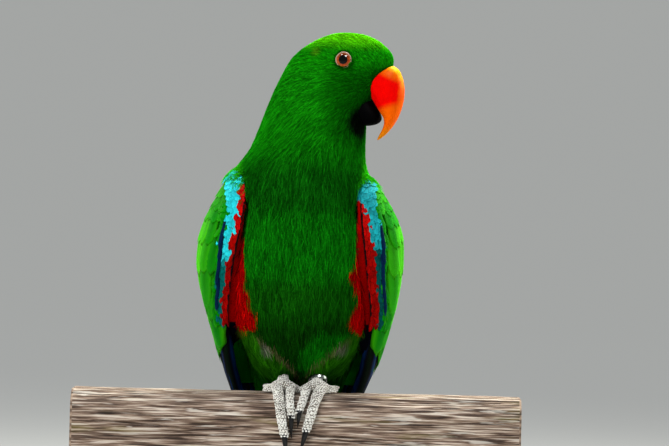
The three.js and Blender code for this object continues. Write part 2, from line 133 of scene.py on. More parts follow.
def loop_facts(loop: Array) -> tuple[Array, Array]:
    """A closed loop's outward directions, and the length run at the end of each of its steps."""
    ahead = np.roll(loop, -1, axis=0)
    outward = unit(ahead - np.roll(loop, 1, axis=0))[:, ::-1] * [1, -1]
    return outward, np.cumsum(np.linalg.norm(ahead - loop, axis=1))


def circle(steps: int) -> Array:
    """Even angles once round a circle."""
    return np.arange(steps) * 2 * math.pi / steps


def value_noise(points: Array, cell: float | tuple[float, float, float], seed: int) -> Array:
    """Smooth random values between 0 and 1.

    Args:
        points: Places, one row each.
        cell: Size of a lattice cell, in the points' unit, alike on all axes or one for each.
        seed: Picks the lattice of random values.

    Returns:
        One value for each point.
    """
    table = np.random.default_rng(seed).random(NOISE_VALUES)
    scaled = points / np.asarray(cell)
    base = np.floor(scaled).astype(np.int64)
    part = scaled - base
    part = part * part * (3 - 2 * part)
    total = np.zeros(len(points))
    for corner in range(8):
        offset = np.array([(corner >> axis) & 1 for axis in range(3)])
        key = (base + offset) @ NOISE_STRIDES
        total += np.prod(np.where(offset, part, 1 - part), axis=1) * table[key % NOISE_VALUES]
    return total


def box_middle(node: str) -> Array:
    """The middle of a node's box, in metres."""
    low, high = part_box(node)
    return (np.array(low) + np.array(high)) / 2


PERCH_LOW, PERCH_HIGH = (np.array(corner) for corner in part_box("perch"))
ORIGIN = np.array([0.0, (PERCH_LOW[1] + PERCH_HIGH[1]) / 2, PERCH_HIGH[2]])


def bird_mm(points: Array) -> Array:
    """Metre places as millimetres from the middle of the rail's top."""
    return (np.asarray(points) - ORIGIN) / MM


def metres(places: Array) -> Array:
    """Millimetres from the middle of the rail's top as metre places."""
    return np.asarray(places) * MM + ORIGIN


class HeadFrame:
    """Forward, right and up of the turned head, from the point between the eyes."""

    def __init__(self) -> None:
        """Reads the head's turn from the two eyes."""
        right_eye = bird_mm(box_middle("eye_right"))
        left_eye = bird_mm(box_middle("eye_left"))
        self.middle = (right_eye + left_eye) / 2
        self.right = unit(right_eye - left_eye)
        self.up = np.array([0.0, 0.0, 1.0])
        self.forward = np.cross(self.up, self.right)
        # Millimetres that the shown eyes sit below their nodes.
        self.eye_drop = 1.25
        drop = np.array([0, 0, self.eye_drop])
        self.eyes = {Side.RIGHT: right_eye - drop, Side.LEFT: left_eye - drop}

    def local(self, places: Array) -> Array:
        """Bird millimetres as forward, right and up millimetres of the head."""
        return (places - self.middle) @ np.stack([self.forward, self.right, self.up], axis=1)

    def place(self, forward: float, right: float, up: float) -> Array:
        """A point of the head in bird millimetres."""
        return self.middle + forward * self.forward + right * self.right + up * self.up


HEAD = HeadFrame()


# Meshes


def object_of(name: str, mesh: Mesh) -> Object:
    """Links a new object for a mesh."""
    made = bpy.data.objects.new(name, mesh)
    bpy.context.scene.collection.objects.link(made)
    return made


def mesh_object(
    name: str,
    points: Array,
    faces: list[Array],
    tint: Array | None = None,
    uvs: dict[str, Array] | None = None,
) -> Object:
    """Makes a smooth-shaded object from arrays.

    Args:
        name: The object's name.
        points: Places in metres.
        faces: Arrays of corner numbers, each array with one count of corners.
        tint: A linear colour for each point, kept as the attribute "tint".
        uvs: UV maps by name, with a place for each point.

    Returns:
        The linked object.
    """
    mesh = bpy.data.meshes.new(name)
    corners = np.concatenate([face.ravel() for face in faces]).astype(np.int32)
    sizes = np.concatenate([np.full(len(face), face.shape[1]) for face in faces])
    starts = np.concatenate([[0], np.cumsum(sizes)[:-1]]).astype(np.int32)
    mesh.vertices.add(len(points))
    mesh.vertices.foreach_set("co", np.asarray(points, np.float32).ravel())
    mesh.loops.add(len(corners))
    mesh.loops.foreach_set("vertex_index", corners)
    mesh.polygons.add(len(sizes))
    mesh.polygons.foreach_set("loop_start", starts)
    mesh.update(calc_edges=True)
    for label, places in (uvs or {}).items():
        layer = mesh.uv_layers.new(name=label)
        layer.data.foreach_set("uv", np.asarray(places, np.float32)[corners].ravel())
    if tint is not None:
        paint(mesh, tint)
    mesh.shade_smooth()
    return object_of(name, mesh)


def paint(mesh: Mesh, tint: Array) -> None:
    """Keeps a linear colour for each vertex as the attribute "tint"."""
    layer = mesh.attributes.new("tint", "FLOAT_COLOR", "POINT")
    rgba = np.ones((len(tint), 4), np.float32)
    rgba[:, :3] = np.clip(tint, 0, 1)
    layer.data.foreach_set("color", rgba.ravel())


def read_items(items: Any, field: str, columns: int, kind: type = np.float32) -> Array:
    """One field of a mesh's items, a row for each."""
    values = np.zeros(len(items) * columns, kind)
    items.foreach_get(field, values)
    return values.reshape(-1, columns)


def vertex_places(mesh: Mesh) -> Array:
    """The vertices' places in metres."""
    return read_items(mesh.vertices, "co", 3).astype(float)


def vertex_normals(mesh: Mesh) -> Array:
    """The vertices' outward directions."""
    return read_items(mesh.vertices, "normal", 3).astype(float)


def edge_ends(mesh: Mesh) -> Array:
    """Both vertex numbers of each edge."""
    return read_items(mesh.edges, "vertices", 2, np.int32)


def set_places(mesh: Mesh, places: Array) -> None:
    """Moves a mesh's vertices to new places in metres."""
    mesh.vertices.foreach_set("co", places.astype(np.float32).ravel())
    mesh.update()


def relaxed(places: Array, ends: Array, passes: int, share: float = 0.5) -> Array:
    """Places drawn towards the mean of their neighbours.

    Args:
        places: Vertex places.
        ends: Both vertex numbers of each edge.
        passes: How many times to smooth.
        share: How far each pass goes to the neighbours' mean.

    Returns:
        The smoothed places.
    """
    both = np.concatenate([ends, ends[:, ::-1]])
    count = np.maximum(np.bincount(both[:, 0], minlength=len(places)), 1)[:, None]
    for _ in range(passes):
        columns = [
            np.bincount(both[:, 0], weights=places[both[:, 1], axis], minlength=len(places))
            for axis in range(3)
        ]
        places = places + share * (np.stack(columns, axis=1) / count - places)
    return places


def form_mesh(form: bmesh.types.BMesh, name: str = "part") -> Mesh:
    """A new mesh of a bmesh, which is freed."""
    mesh = bpy.data.meshes.new(name)
    form.to_mesh(mesh)
    form.free()
    return mesh


def applied(holder: Object) -> Mesh:
    """The plain mesh that an object's modifiers make of it. The object is removed."""
    mesh = bpy.data.meshes.new_from_object(holder.evaluated_get(bpy.context.evaluated_depsgraph_get()))
    bpy.data.objects.remove(holder)
    return mesh


def merged_form(nodes: list[str], grow: float = 0.0, above: float | None = None) -> bmesh.types.BMesh:
    """The closed forms of CAD nodes in one bmesh.

    Args:
        nodes: The nodes to copy.
        grow: Metres to swell each form by.
        above: A height in metres below which the forms are cut away and closed.

    Returns:
        A bmesh that the caller frees.
    """
    whole = bmesh.new()
    for node in nodes:
        form = bmesh.new()
        form.from_mesh(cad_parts[node].data)
        bmesh.ops.remove_doubles(form, verts=form.verts, dist=1e-6)
        if above is not None:
            every = form.verts[:] + form.edges[:] + form.faces[:]
            cut = bmesh.ops.bisect_plane(
                form, geom=every, plane_co=(0, 0, above), plane_no=(0, 0, 1), clear_inner=True
            )
            rim = [item for item in cut["geom_cut"] if isinstance(item, bmesh.types.BMEdge)]
            if rim:
                bmesh.ops.holes_fill(form, edges=rim)
        bmesh.ops.recalc_face_normals(form, faces=form.faces)
        form.normal_update()
        for vertex in form.verts:
            vertex.co += vertex.normal * grow
        part = form_mesh(form)
        whole.from_mesh(part)
        bpy.data.meshes.remove(part)
    return whole


def remeshed(form: bmesh.types.BMesh, voxel: float, passes: int) -> Mesh:
    """One smooth shell round a form.

    Args:
        form: The closed forms, freed here.
        voxel: Cell size in metres.
        passes: Smoothing passes.

    Returns:
        A mesh of quads with only its largest shell left.
    """
    rough = form_mesh(form, "rough")
    holder = object_of("rough", rough)
    modifier = holder.modifiers.new("shell", "REMESH")
    modifier.mode = "VOXEL"
    modifier.voxel_size = voxel
    mesh = applied(holder)
    bpy.data.meshes.remove(rough)
    keep_largest_shell(mesh)
    set_places(mesh, relaxed(vertex_places(mesh), edge_ends(mesh), passes))
    mesh.shade_smooth()
    return mesh


def keep_largest_shell(mesh: Mesh) -> None:
    """Deletes every loose shell but the one with the most vertices."""
    ends = edge_ends(mesh)
    label = np.arange(len(mesh.vertices))
    changed = True
    while changed:
        before = label.copy()
        np.minimum.at(label, ends[:, 0], label[ends[:, 1]])
        np.minimum.at(label, ends[:, 1], label[ends[:, 0]])
        label = label[label]
        changed = bool((label != before).any())
    biggest = np.bincount(label).argmax()
    if (label == biggest).all():
        return
    form = bmesh.new()
    form.from_mesh(mesh)
    form.verts.ensure_lookup_table()
    spare = [form.verts[i] for i in np.flatnonzero(label != biggest)]
    bmesh.ops.delete(form, geom=spare, context="VERTS")
    form.to_mesh(mesh)
    form.free()


def loft_faces(rows: int, steps: int, closed: bool = False, flipped: bool = False) -> list[Array]:
    """Faces between rings of points.

    Args:
        rows: How many rings.
        steps: Points in each ring.
        closed: Joins the last ring to the first. If not, each end gets a cap.
        flipped: Turns the faces over.

    Returns:
        Arrays of corner numbers for mesh_object.
    """
    index = np.arange(rows * steps).reshape(rows, steps)
    upward = np.roll(index, -1, axis=0)
    quads = np.stack([index, np.roll(index, -1, axis=1), np.roll(upward, -1, axis=1), upward], axis=-1)
    quads = quads[: rows if closed else rows - 1].reshape(-1, 4)
    caps = [] if closed else [index[:1, ::-1], index[-1:]]
    if flipped:
        return [quads[:, [0, 3, 2, 1]], *(cap[:, ::-1] for cap in caps)]
    return [quads, *caps]


def turned(radius: Array, height: Array, steps: int) -> Array:
    """Points round an upright axis, a ring of steps for each radius and height."""
    angles = circle(steps)
    flat = [np.outer(radius, np.cos(angles)), np.outer(radius, np.sin(angles))]
    return np.stack([*flat, np.outer(height, np.ones(steps))], axis=-1).reshape(-1, 3)


def lathe(profile: list[tuple[float, float]], steps: int, middle: Array, closed: bool) -> Form:
    """A form turned round an upright axis.

    Args:
        profile: Radius and height pairs in metres, from the inside or bottom up.
        steps: Steps round the axis.
        middle: Where the axis stands, in metres.
        closed: Joins the last profile point to the first, as for a ring.

    Returns:
        Points and faces for mesh_object.
    """
    return turned(*np.array(profile).T, steps) + middle, loft_faces(len(profile), steps, closed)


def shell_object(name: str, points: Array, faces: list[Array], tint: Array | None = None) -> Object:
    """An object from arrays, as mesh_object makes it, with every face turned outwards."""
    made = mesh_object(name, points, faces, tint)
    form = bmesh.new()
    form.from_mesh(made.data)
    bmesh.ops.recalc_face_normals(form, faces=form.faces)
    form.to_mesh(made.data)
    form.free()
    return made


def adopt(piece: Object, replaced: tuple[str, ...] = ()) -> Object:
    """Makes a finished piece ride on the body, and hides the nodes it stands for."""
    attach(piece, BODY)
    if replaced:
        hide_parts(*replaced)
    logging.info("%s: %d faces", piece.name, len(piece.data.polygons))
    return piece


def dress(piece: Object, material: Material) -> Object:
    """Gives a piece its one material."""
    piece.data.materials.clear()
    piece.data.materials.append(material)
    return piece


# Shader trees


@dataclass(frozen=True)
class Wire:
    """An output socket that takes part in arithmetic."""

    tree: bpy.types.NodeTree
    socket: bpy.types.NodeSocket

    def _maths(self, operation: str, first: "Wire | float", second: "Wire | float") -> "Wire":
        """Adds one Math node."""
        made = self.tree.nodes.new("ShaderNodeMath")
        made.operation = operation
        for socket, value in zip(made.inputs, (first, second)):
            if isinstance(value, Wire):
                self.tree.links.new(value.socket, socket)
            else:
                socket.default_value = value
        return Wire(self.tree, made.outputs[0])

    def __add__(self, other: "Wire | float") -> "Wire":
        """This value plus another."""
        return self._maths("ADD", self, other)

    __radd__ = __add__

    def __mul__(self, other: "Wire | float") -> "Wire":
        """This value times another."""
        return self._maths("MULTIPLY", self, other)

    __rmul__ = __mul__

    def __sub__(self, other: "Wire | float") -> "Wire":
        """This value less another."""
        return self._maths("SUBTRACT", self, other)

    def __rsub__(self, other: "Wire | float") -> "Wire":
        """Another value less this one."""
        return self._maths("SUBTRACT", other, self)

    def __pow__(self, other: float) -> "Wire":
        """This value to a power."""
        return self._maths("POWER", self, other)

    def above(self, edge: float) -> "Wire":
        """1 where this value is over an edge."""
        return self._maths("GREATER_THAN", self, edge)

    def sine(self) -> "Wire":
        """The sine of this value."""
        return self._maths("SINE", self, 0.0)


class Shader:
    """A material with one Principled surface, built node by node."""

    def __init__(self, name: str) -> None:
        """Starts an empty node tree with its surface and output."""
        self.material = bpy.data.materials.new(name)
        self.material.use_nodes = True
        self.tree = self.material.node_tree
        self.tree.nodes.clear()
        self.surface = self.tree.nodes.new("ShaderNodeBsdfPrincipled")
        output = self.tree.nodes.new("ShaderNodeOutputMaterial")
        self.tree.links.new(self.surface.outputs[0], output.inputs["Surface"])

    def plug(self, node: bpy.types.Node, name: str, value: Any) -> None:
        """Links a wire to a node's socket, or sets the socket's value."""
        socket = next(s for s in node.inputs if name in (s.identifier, s.name))
        if isinstance(value, Wire):
            self.tree.links.new(value.socket, socket)
        elif socket.type == "RGBA":
            socket.default_value = (*value, 1.0)
        else:
            socket.default_value = value

    def node(self, kind: str, settings: dict[str, Any], inputs: dict[str, Any], output: str = "") -> Wire:
        """Adds a node.

        Args:
            kind: The node's type after "ShaderNode".
            settings: Attributes to set first. The key "stops" fills a colour ramp.
            inputs: Values or wires by socket name or identifier.
            output: The wanted output's name or identifier, or the first one.

        Returns:
            The wire from that output.
        """
        made = self.tree.nodes.new("ShaderNode" + kind)
        for key, value in settings.items():
            if key == "stops":
                ramp = made.color_ramp.elements
                while len(ramp) < len(value):
                    ramp.new(1.0)
                for element, (position, colour) in zip(ramp, value):
                    element.position = position
                    element.color = (*colour, 1.0)
            else:
                setattr(made, key, value)
        for key, value in inputs.items():
            self.plug(made, key, value)
        wanted = [s for s in made.outputs if output in (s.identifier, s.name)] or list(made.outputs)
        return Wire(self.tree, wanted[0])

    def place(self, stretch: Colour = (1.0, 1.0, 1.0)) -> Wire:
        """Object coordinates, scaled along each axis."""
        raw = self.node("TexCoord", {}, {}, "Object")
        return self.node("Mapping", {}, {"Vector": raw, "Scale": stretch})

    def noise(self, where: Wire, scale: float, detail: float = 3.0, warp: float = 0.0) -> Wire:
        """Smooth random values from 0 to 1."""
        inputs = {"Vector": where, "Scale": scale, "Detail": detail, "Distortion": warp}
        return self.node("TexNoise", {}, inputs, "Fac")

    def ramp(self, factor: Wire, stops: list[tuple[float, Colour]]) -> Wire:
        """Colours along a factor."""
        return self.node("ValToRGB", {"stops": stops}, {"Fac": factor}, "Color")

    def mix(
        self, factor: Wire | float, first: Wire | Colour, second: Wire | Colour, mode: str = "MIX"
    ) -> Wire:
        """One colour turned to another by a factor."""
        inputs = {"Factor_Float": factor, "A_Color": first, "B_Color": second}
        return self.node("Mix", {"data_type": "RGBA", "blend_type": mode}, inputs, "Result_Color")

    def tint(self) -> Wire:
        """The piece's own painted colour."""
        return self.node("Attribute", {"attribute_name": "tint"}, {}, "Color")

    def tinted(self, shade: Wire) -> Wire:
        """The piece's own painted colour times a shade."""
        return self.mix(1.0, self.tint(), shade, "MULTIPLY")

    def vane(self) -> tuple[Wire, Wire]:
        """How far across and along its feather a point is, from 0 to 1."""
        where = self.node("UVMap", {"uv_map": "vane"}, {})
        return tuple(self.node("SeparateXYZ", {}, {"Vector": where}, axis) for axis in ("X", "Y"))

    def bump(self, height: Wire, strength: float, depth: float) -> None:
        """Raises the surface's shading by a height.

        Args:
            height: Values from 0 to 1.
            strength: The bump's strength.
            depth: Metres that the height stands for.
        """
        inputs = {"Height": height, "Strength": strength, "Distance": depth}
        self.plug(self.surface, "Normal", self.node("Bump", {}, inputs))

    def finish(
        self,
        colour: Wire | Colour,
        roughness: Wire | float,
        gloss: float = 0.5,
        more: dict[str, Any] | None = None,
    ) -> Material:
        """Sets the surface's sockets.

        Args:
            colour: The base colour.
            roughness: The roughness.
            gloss: The specular level.
            more: Values or wires for other sockets, by name.

        Returns:
            The finished material.
        """
        inputs = {"Base Color": colour, "Roughness": roughness, "Specular IOR Level": gloss, **(more or {})}
        for key, value in inputs.items():
            self.plug(self.surface, key, value)
        return self.material


# Finishes


@dataclass(frozen=True)
class PlumageFinish:
    """Fine feathers in the colours painted on them."""

    name: str
    roughness: float = 0.6
    gloss: float = 0.0
    mottle: float = 900.0

    def material(self) -> Material:
        """Builds the material."""
        shader = Shader(self.name)
        patch = shader.noise(shader.place(), self.mottle, 2.0)
        shade = shader.ramp(patch, [(0.3, (0.72, 0.72, 0.72)), (0.7, (1.0, 1.0, 1.0))])
        return shader.finish(shader.tinted(shade), self.roughness, self.gloss)


@dataclass(frozen=True)
class QuillFinish:
    """Broad feathers whose barbs run out and on from the shaft."""

    name: str
    barbs: float = 90.0
    turn: float = 6.283
    sweep: float = 0.55
    roughness: float = 0.55
    gloss: float = 0.015

    def material(self) -> Material:
        """Builds the material."""
        shader = Shader(self.name)
        across, along = shader.vane()
        off_shaft = shader.node("Math", {"operation": "ABSOLUTE"}, {"Value": across - 0.5})
        ripple = (along - off_shaft * self.sweep) * self.barbs
        wobble = shader.noise(shader.place(), 420.0, 2.0)
        barb = (ripple * self.turn + wobble * 5.0).sine() * 0.5 + 0.5
        shade = shader.mix(barb, (0.8, 0.8, 0.8), (1.0, 1.0, 1.0))
        shader.bump(barb, 0.35, 0.00012)
        return shader.finish(shader.tinted(shade), self.roughness, self.gloss)


@dataclass(frozen=True)
class HornFinish:
    """Smooth horn with fine growth lines, in the colours painted on it."""

    name: str
    roughness: float = 0.4
    lines: float = 2600.0
    gloss: float = 0.05
    coat: float = 0.012
    glow: float = 0.0

    def material(self) -> Material:
        """Builds the material."""
        shader = Shader(self.name)
        growth = shader.noise(shader.place((1.0, 1.0, 0.25)), self.lines, 3.0, 0.6)
        wear = shader.noise(shader.place(), 240.0, 4.0)
        shade = shader.ramp(wear * 0.6 + growth * 0.4, [(0.3, (0.86, 0.84, 0.82)), (0.65, (1.0, 1.0, 1.0))])
        shader.bump(growth * 0.5 + wear * 0.5, 0.22, 0.00015)
        more = {
            "Coat Weight": self.coat,
            "Coat Roughness": 0.18,
            "Subsurface Weight": self.glow,
            "Subsurface Radius": (0.004, 0.0015, 0.0006),
            "Subsurface Scale": 0.5,
        }
        return shader.finish(shader.tinted(shade), wear * 0.2 + (self.roughness - 0.1), self.gloss, more)


@dataclass(frozen=True)
class EyeFinish:
    """A wet eyeball in the colours painted on it."""

    def material(self) -> Material:
        """Builds the material."""
        shader = Shader("eye_wet")
        fleck = shader.noise(shader.place(), 2600.0, 3.0)
        shade = shader.ramp(fleck, [(0.3, (0.7, 0.7, 0.7)), (0.7, (1.0, 1.0, 1.0))])
        return shader.finish(shader.tinted(shade), 0.07, 0.1, {"Coat Weight": 0.12, "Coat Roughness": 0.02})


@dataclass(frozen=True)
class ScaleFinish:
    """Dry, pebbled skin in two tones."""

    name: str
    pale: Colour
    dark: Colour
    roughness: float = 0.62

    def material(self) -> Material:
        """Builds the material."""
        shader = Shader(self.name)
        where = shader.place()
        broad = shader.noise(where, 260.0, 3.0)
        fine = shader.noise(where, 2400.0, 3.0)
        tone = shader.ramp(broad * 0.45 + fine * 0.55, [(0.36, self.dark), (0.62, self.pale)])
        shader.bump(fine, 0.4, 0.0002)
        return shader.finish(tone, fine * 0.2 + self.roughness, 0.2)


@dataclass(frozen=True)
class MetalFinish:
    """Worn, lightly scratched metal."""

    def material(self) -> Material:
        """Builds the material."""
        shader = Shader("ring_metal")
        scratch = shader.noise(shader.place((1.0, 1.0, 9.0)), 900.0, 4.0)
        stain = shader.noise(shader.place(), 700.0, 3.0)
        tone = shader.ramp(stain, [(0.35, srgb(48, 56, 48)), (0.65, srgb(150, 156, 150))])
        shader.bump(scratch, 0.3, 0.0001)
        return shader.finish(tone, scratch * 0.25 + 0.1, more={"Metallic": 1.0})


@dataclass(frozen=True)
class WoodFinish:
    """Weathered timber: grey-brown grain, pale streaks that are partly bleached wood and partly painted
    highlight, a little lichen, and rings at the cut ends.
    """

    # The pith is a y and z in metres. The end grain shows further out along x than end.
    grain: float = 26.0
    pith: tuple[float, float] = (0.012, 0.05)
    rings: float = 2400.0
    end: float = 0.1288

    def material(self) -> Material:
        """Builds the material."""
        shader = Shader("weathered_wood")
        along = shader.place((0.16, 1.0, 1.0))
        long_streak = shader.noise(shader.place((0.05, 1.0, 1.0)), self.grain * 31, 6.0, 0.3)
        fibre = shader.noise(shader.place((0.03, 1.0, 1.0)), self.grain * 75, 4.0, 0.2)
        broad = shader.noise(along, self.grain * 2.4, 4.0, 0.6)
        body = shader.ramp(
            long_streak * 0.66 + fibre * 0.34,
            [
                (0.4, srgb(36, 27, 22)),
                (0.46, srgb(98, 79, 67)),
                (0.52, srgb(150, 127, 110)),
                (0.57, srgb(200, 181, 164)),
                (0.62, srgb(234, 221, 206)),
            ],
        )
        aged = shader.mix(broad * 0.18, body, srgb(128, 104, 90))
        # Pale streaks along the grain: partly bleached wood, partly painted highlight on the grain's ridges.
        pale_streaks = shader.ramp(
            shader.noise(shader.place((0.07, 1.0, 1.0)), self.grain * 21, 3.0, 0.4),
            [(0.6, (0.0, 0.0, 0.0)), (0.66, (1.0, 1.0, 1.0))],
        )
        pale = shader.mix(pale_streaks * 0.6, aged, srgb(238, 230, 218))
        patches = shader.noise(along, self.grain * 5, 3.0)
        mossy = shader.ramp(patches, [(0.58, (0, 0, 0)), (0.72, (1, 1, 1))])
        mossed = shader.mix(mossy * 0.42, pale, srgb(140, 132, 62))
        x, y, z = (shader.node("SeparateXYZ", {}, {"Vector": shader.place()}, axis) for axis in "XYZ")
        y, z = y - self.pith[0], z - self.pith[1]
        waver = shader.noise(shader.place(), 55.0, 2.0) * 4.0
        rings = ((y * y + z * z) ** 0.5 * self.rings + waver).sine() * 0.5 + 0.5
        grown = shader.mix(rings, srgb(104, 84, 70), srgb(176, 152, 132))
        end = (x * x).above(self.end**2)
        mossed = shader.mix(end * 0.85, mossed, grown)
        shader.bump(long_streak * 0.6 + fibre * 0.4, 0.9, 0.0007)
        return shader.finish(shader.mix(1.0, mossed, shader.tint(), "MULTIPLY"), fibre * 0.25 + 0.68, 0.12)


@dataclass(frozen=True)
class PaintFinish:
    """Satin paint with a faint brushed ripple and random lighter patches."""

    name: str
    colour: Colour
    metal: float = 0.0

    def material(self) -> Material:
        """Builds the material."""
        shader = Shader(self.name)
        ripple = shader.noise(shader.place((1.0, 6.0, 1.0)), 160.0, 3.0)
        dust = shader.noise(shader.place(), 38.0, 5.0)
        lighter = tuple(value * 1.5 + 0.006 for value in self.colour)
        tone = shader.mix(dust, self.colour, lighter)
        shader.bump(ripple, 0.12, 0.0002)
        return shader.finish(tone, dust * 0.22 + 0.28, more={"Metallic": self.metal})


@dataclass(frozen=True)
class BackdropFinish:
    """The plain pale floor and its sweep."""

    def material(self) -> Material:
        """Builds the material."""
        glow = {"Emission Color": (0.62, 0.63, 0.61), "Emission Strength": 0.42}
        return Shader("pale_floor").finish((0.3, 0.305, 0.3), 0.9, 0.1, glow)


# Markings


class Markings:
    """The plumage's colours as functions of place, shared by the skin and the feathers."""

    # The head's own green, made lighter for the top of the head: painted light falling from above.
    CROWN = srgb(86, 206, 9)
    FACE = srgb(16, 136, 6)
    CHEEK = srgb(8, 93, 3)
    NECK = srgb(16, 132, 8)
    BREAST_TOP = srgb(9, 86, 7)
    BREAST = srgb(10, 111, 8)
    # Darker greens low on the breast and on the belly: painted shade on the underside.
    BREAST_LOW = srgb(13, 80, 5)
    BELLY = srgb(9, 54, 3)
    RED = srgb(174, 3, 2)
    # Near black: the chin's dark feathers, and painted shadow under the bill and in the nostril.
    CHIN = srgb(6, 9, 6)
    THIGH_EDGE = srgb(92, 70, 56)
    THIGH = srgb(34, 98, 5)
    THIGH_GREY = srgb(104, 96, 92)
    YELLOW = srgb(128, 170, 30)
    CYAN = srgb(44, 236, 250)
    TEAL = srgb(3, 108, 104)
    BLUE = srgb(4, 34, 72)
    # Near black: the primaries' own colour, also used for painted shadow at the wing's front edge.
    NIGHT = srgb(7, 9, 16)
    WING = srgb(8, 141, 8)
    # A lime green that paints the rim light on the backlit edges of the wings.
    WING_RIM = srgb(88, 224, 8)
    SHOULDER = srgb(40, 178, 12)
    SHAFT = srgb(6, 40, 6)

    # Height, and how far from the middle the flank's red begins, on each side.
    FLANKS = {
        Side.RIGHT: ((30, 33), (36, 27.5), (39, 22), (46, 24), (53, 27.5), (62, 29), (70, 28.8), (79, 31),
                     (88, 32.4), (97, 35)),
        Side.LEFT: ((35, 36), (39, 30), (42, 26.5), (48, 30.5), (55, 31.5), (65, 29), (69, 26), (74, 30.5),
                    (94, 34.5)),
    }
    # How far from the body's middle each wing's front edge shows, by height.
    WING_EDGES = {
        Side.RIGHT: ((35, 41.8), (47, 40.4), (71, 38.4), (88, 36), (111, 32.5), (117, 31.7)),
        Side.LEFT: ((35, 40.8), (45, 40.3), (66, 39.2), (89, 36.3), (111, 33.5)),
    }
    # The belly's edge over each thigh, from the outside in and down to the feet: x and height.
    THIGH_LINES = {
        Side.RIGHT: ((-24.0, 36.0), (-20.8, 31.0), (-1.2, 13.0), (1.9, 4.4)),
        Side.LEFT: ((29.0, 36.0), (26.2, 31.0), (6.3, 13.0), (1.9, 4.4)),
    }
    CHIN_AT = np.array([35.0, -25.0, 156.5])
    YELLOW_AT = np.array([5.0, -26.0, 198.5])
    # The x and height of the greyish patches at the tops of the thighs.
    THIGH_TOPS = ((-17.5, 25.5), (24.0, 26.5))

    def past_belly(self, places: Array) -> Array:
        """Millimetres that places lie past the belly's edge, over a thigh. On the belly it is under 0."""
        x, y, z = places.T
        past = np.full(len(places), -99.0)
        for side, line in self.THIGH_LINES.items():
            points = np.array(line)
            edge = np.interp(z, points[::-1, 1], points[::-1, 0])
            past = np.maximum(past, 0.68 * side.value * (x - edge))
        return np.where((z < 36) & (y < 24), past, -99.0)

    def body(self, places: Array, tracts: Array) -> Array:
        """Colour of the head, neck, trunk and thighs.

        Args:
            places: Bird millimetres.
            tracts: The Tract value of each place.

        Returns:
            Linear colours.
        """
        x, y, z = places.T
        forward, _, up = HEAD.local(places).T
        patchy = value_noise(places, 9.0, 11)
        shoulder = smooth_step(31, 37, np.abs(x)) * smooth_step(108, 116, z) * smooth_step(142, 134, z)
        streak = smooth_step(9, 5, np.abs(self.past_belly(places) + 6)) * smooth_step(-2, 5, x)
        colour = np.tile(self.BREAST, (len(places), 1))
        for tone, share in (
            # Darker towards the underside: painted shade.
            (self.BREAST_LOW, smooth_step(74, 58, z)),
            (self.BELLY, smooth_step(52, 34, z) * smooth_step(50, 20, y)),
            (self.BREAST_TOP, smooth_step(96, 112, z)),
            (self.NECK, smooth_step(122, 146, z)),
            (self.CHEEK, smooth_step(156, 168, z) * smooth_step(-14, -2, forward)),
            (self.FACE, smooth_step(-12, 0, up)),
            # The top of the head is lighter: painted light from above over its own green.
            (self.CROWN, smooth_step(3, 12, up + 3 * (patchy - 0.5))),
            (self.YELLOW, 0.5 * self._near(places, self.YELLOW_AT, 2.0, 5.5)),
            (self.SHOULDER, 0.85 * shoulder),
            (self.BREAST, 0.7 * (streak * smooth_step(46, 32, z))),
        ):
            colour = blend(colour, tone, share)
        # A broad painted shadow under the bill, then the chin's near black, which is partly its dark feathers
        # and partly painted shadow.
        colour = colour * (1 - 0.5 * self._near(places, self.CHIN_AT - [5, 0, 5], 8.0, 25.0))[:, None]
        colour = blend(colour, self.CHIN, 0.98 * self._near(places, self.CHIN_AT, 7.5, 13.5))
        # A small dark spot for the nostril: painted shade of its opening.
        colour = blend(colour, self.CHIN, 0.9 * self._near(places, HEAD.place(24.2, 4.0, -0.9), 0.5, 1.9))
        # Painted shadow in the fold round each eye, stronger below it.
        for eye in HEAD.eyes.values():
            fold = np.linalg.norm((places - eye - [0, 0, -0.4]) * [1, 1, 1.06], axis=1)
            crease_shadow = smooth_step(1.5, 0.2, np.abs(fold - 6.3)) * (0.4 + 0.6 * (z < eye[2]))
            colour = colour * (1 - 0.62 * crease_shadow)[:, None]
        colour = colour * (0.8 + 0.4 * patchy)[:, None]
        return self._thighs(self._flanks(colour, places, tracts), places, tracts)

    @staticmethod
    def _near(places: Array, spot: Array, inner: float, outer: float) -> Array:
        """1 within the inner distance of a spot, 0 past the outer one."""
        return smooth_step(outer, inner, np.linalg.norm(places - spot, axis=1))

    def _flanks(self, colour: Array, places: Array, tracts: Array) -> Array:
        """Adds the red of both flanks, and a painted shadow line along each wing's front edge."""
        x, y, z = places.T
        ragged = 3.2 * (value_noise(places, (2.5, 2.5, 9.0), 5) - 0.5)
        for side, rows in self.FLANKS.items():
            share = smooth_step(-0.3, 0.3, side.value * x - along_table(z, rows) + ragged)
            share *= (z > rows[0][0] - 1) & (z < rows[-1][0]) & (y < 22) & (tracts == Tract.TRUNK.value)
            deep = 0.76 + 0.36 * value_noise(places, 7.0, 8)
            colour = blend(colour, np.asarray(self.RED) * deep[:, None], share)
            # A dark line on the body along each wing's front edge: painted shadow in the gap under the wing.
            gap = along_table(z, self.WING_EDGES[side]) - 1.0 - side.value * x
            line = smooth_step(2.4, 1.1, np.abs(gap)) * smooth_step(116, 108, z)
            colour = colour * (1 - 0.93 * (line * (y < 24) * (side.value * x > 0)))[:, None]
        return colour

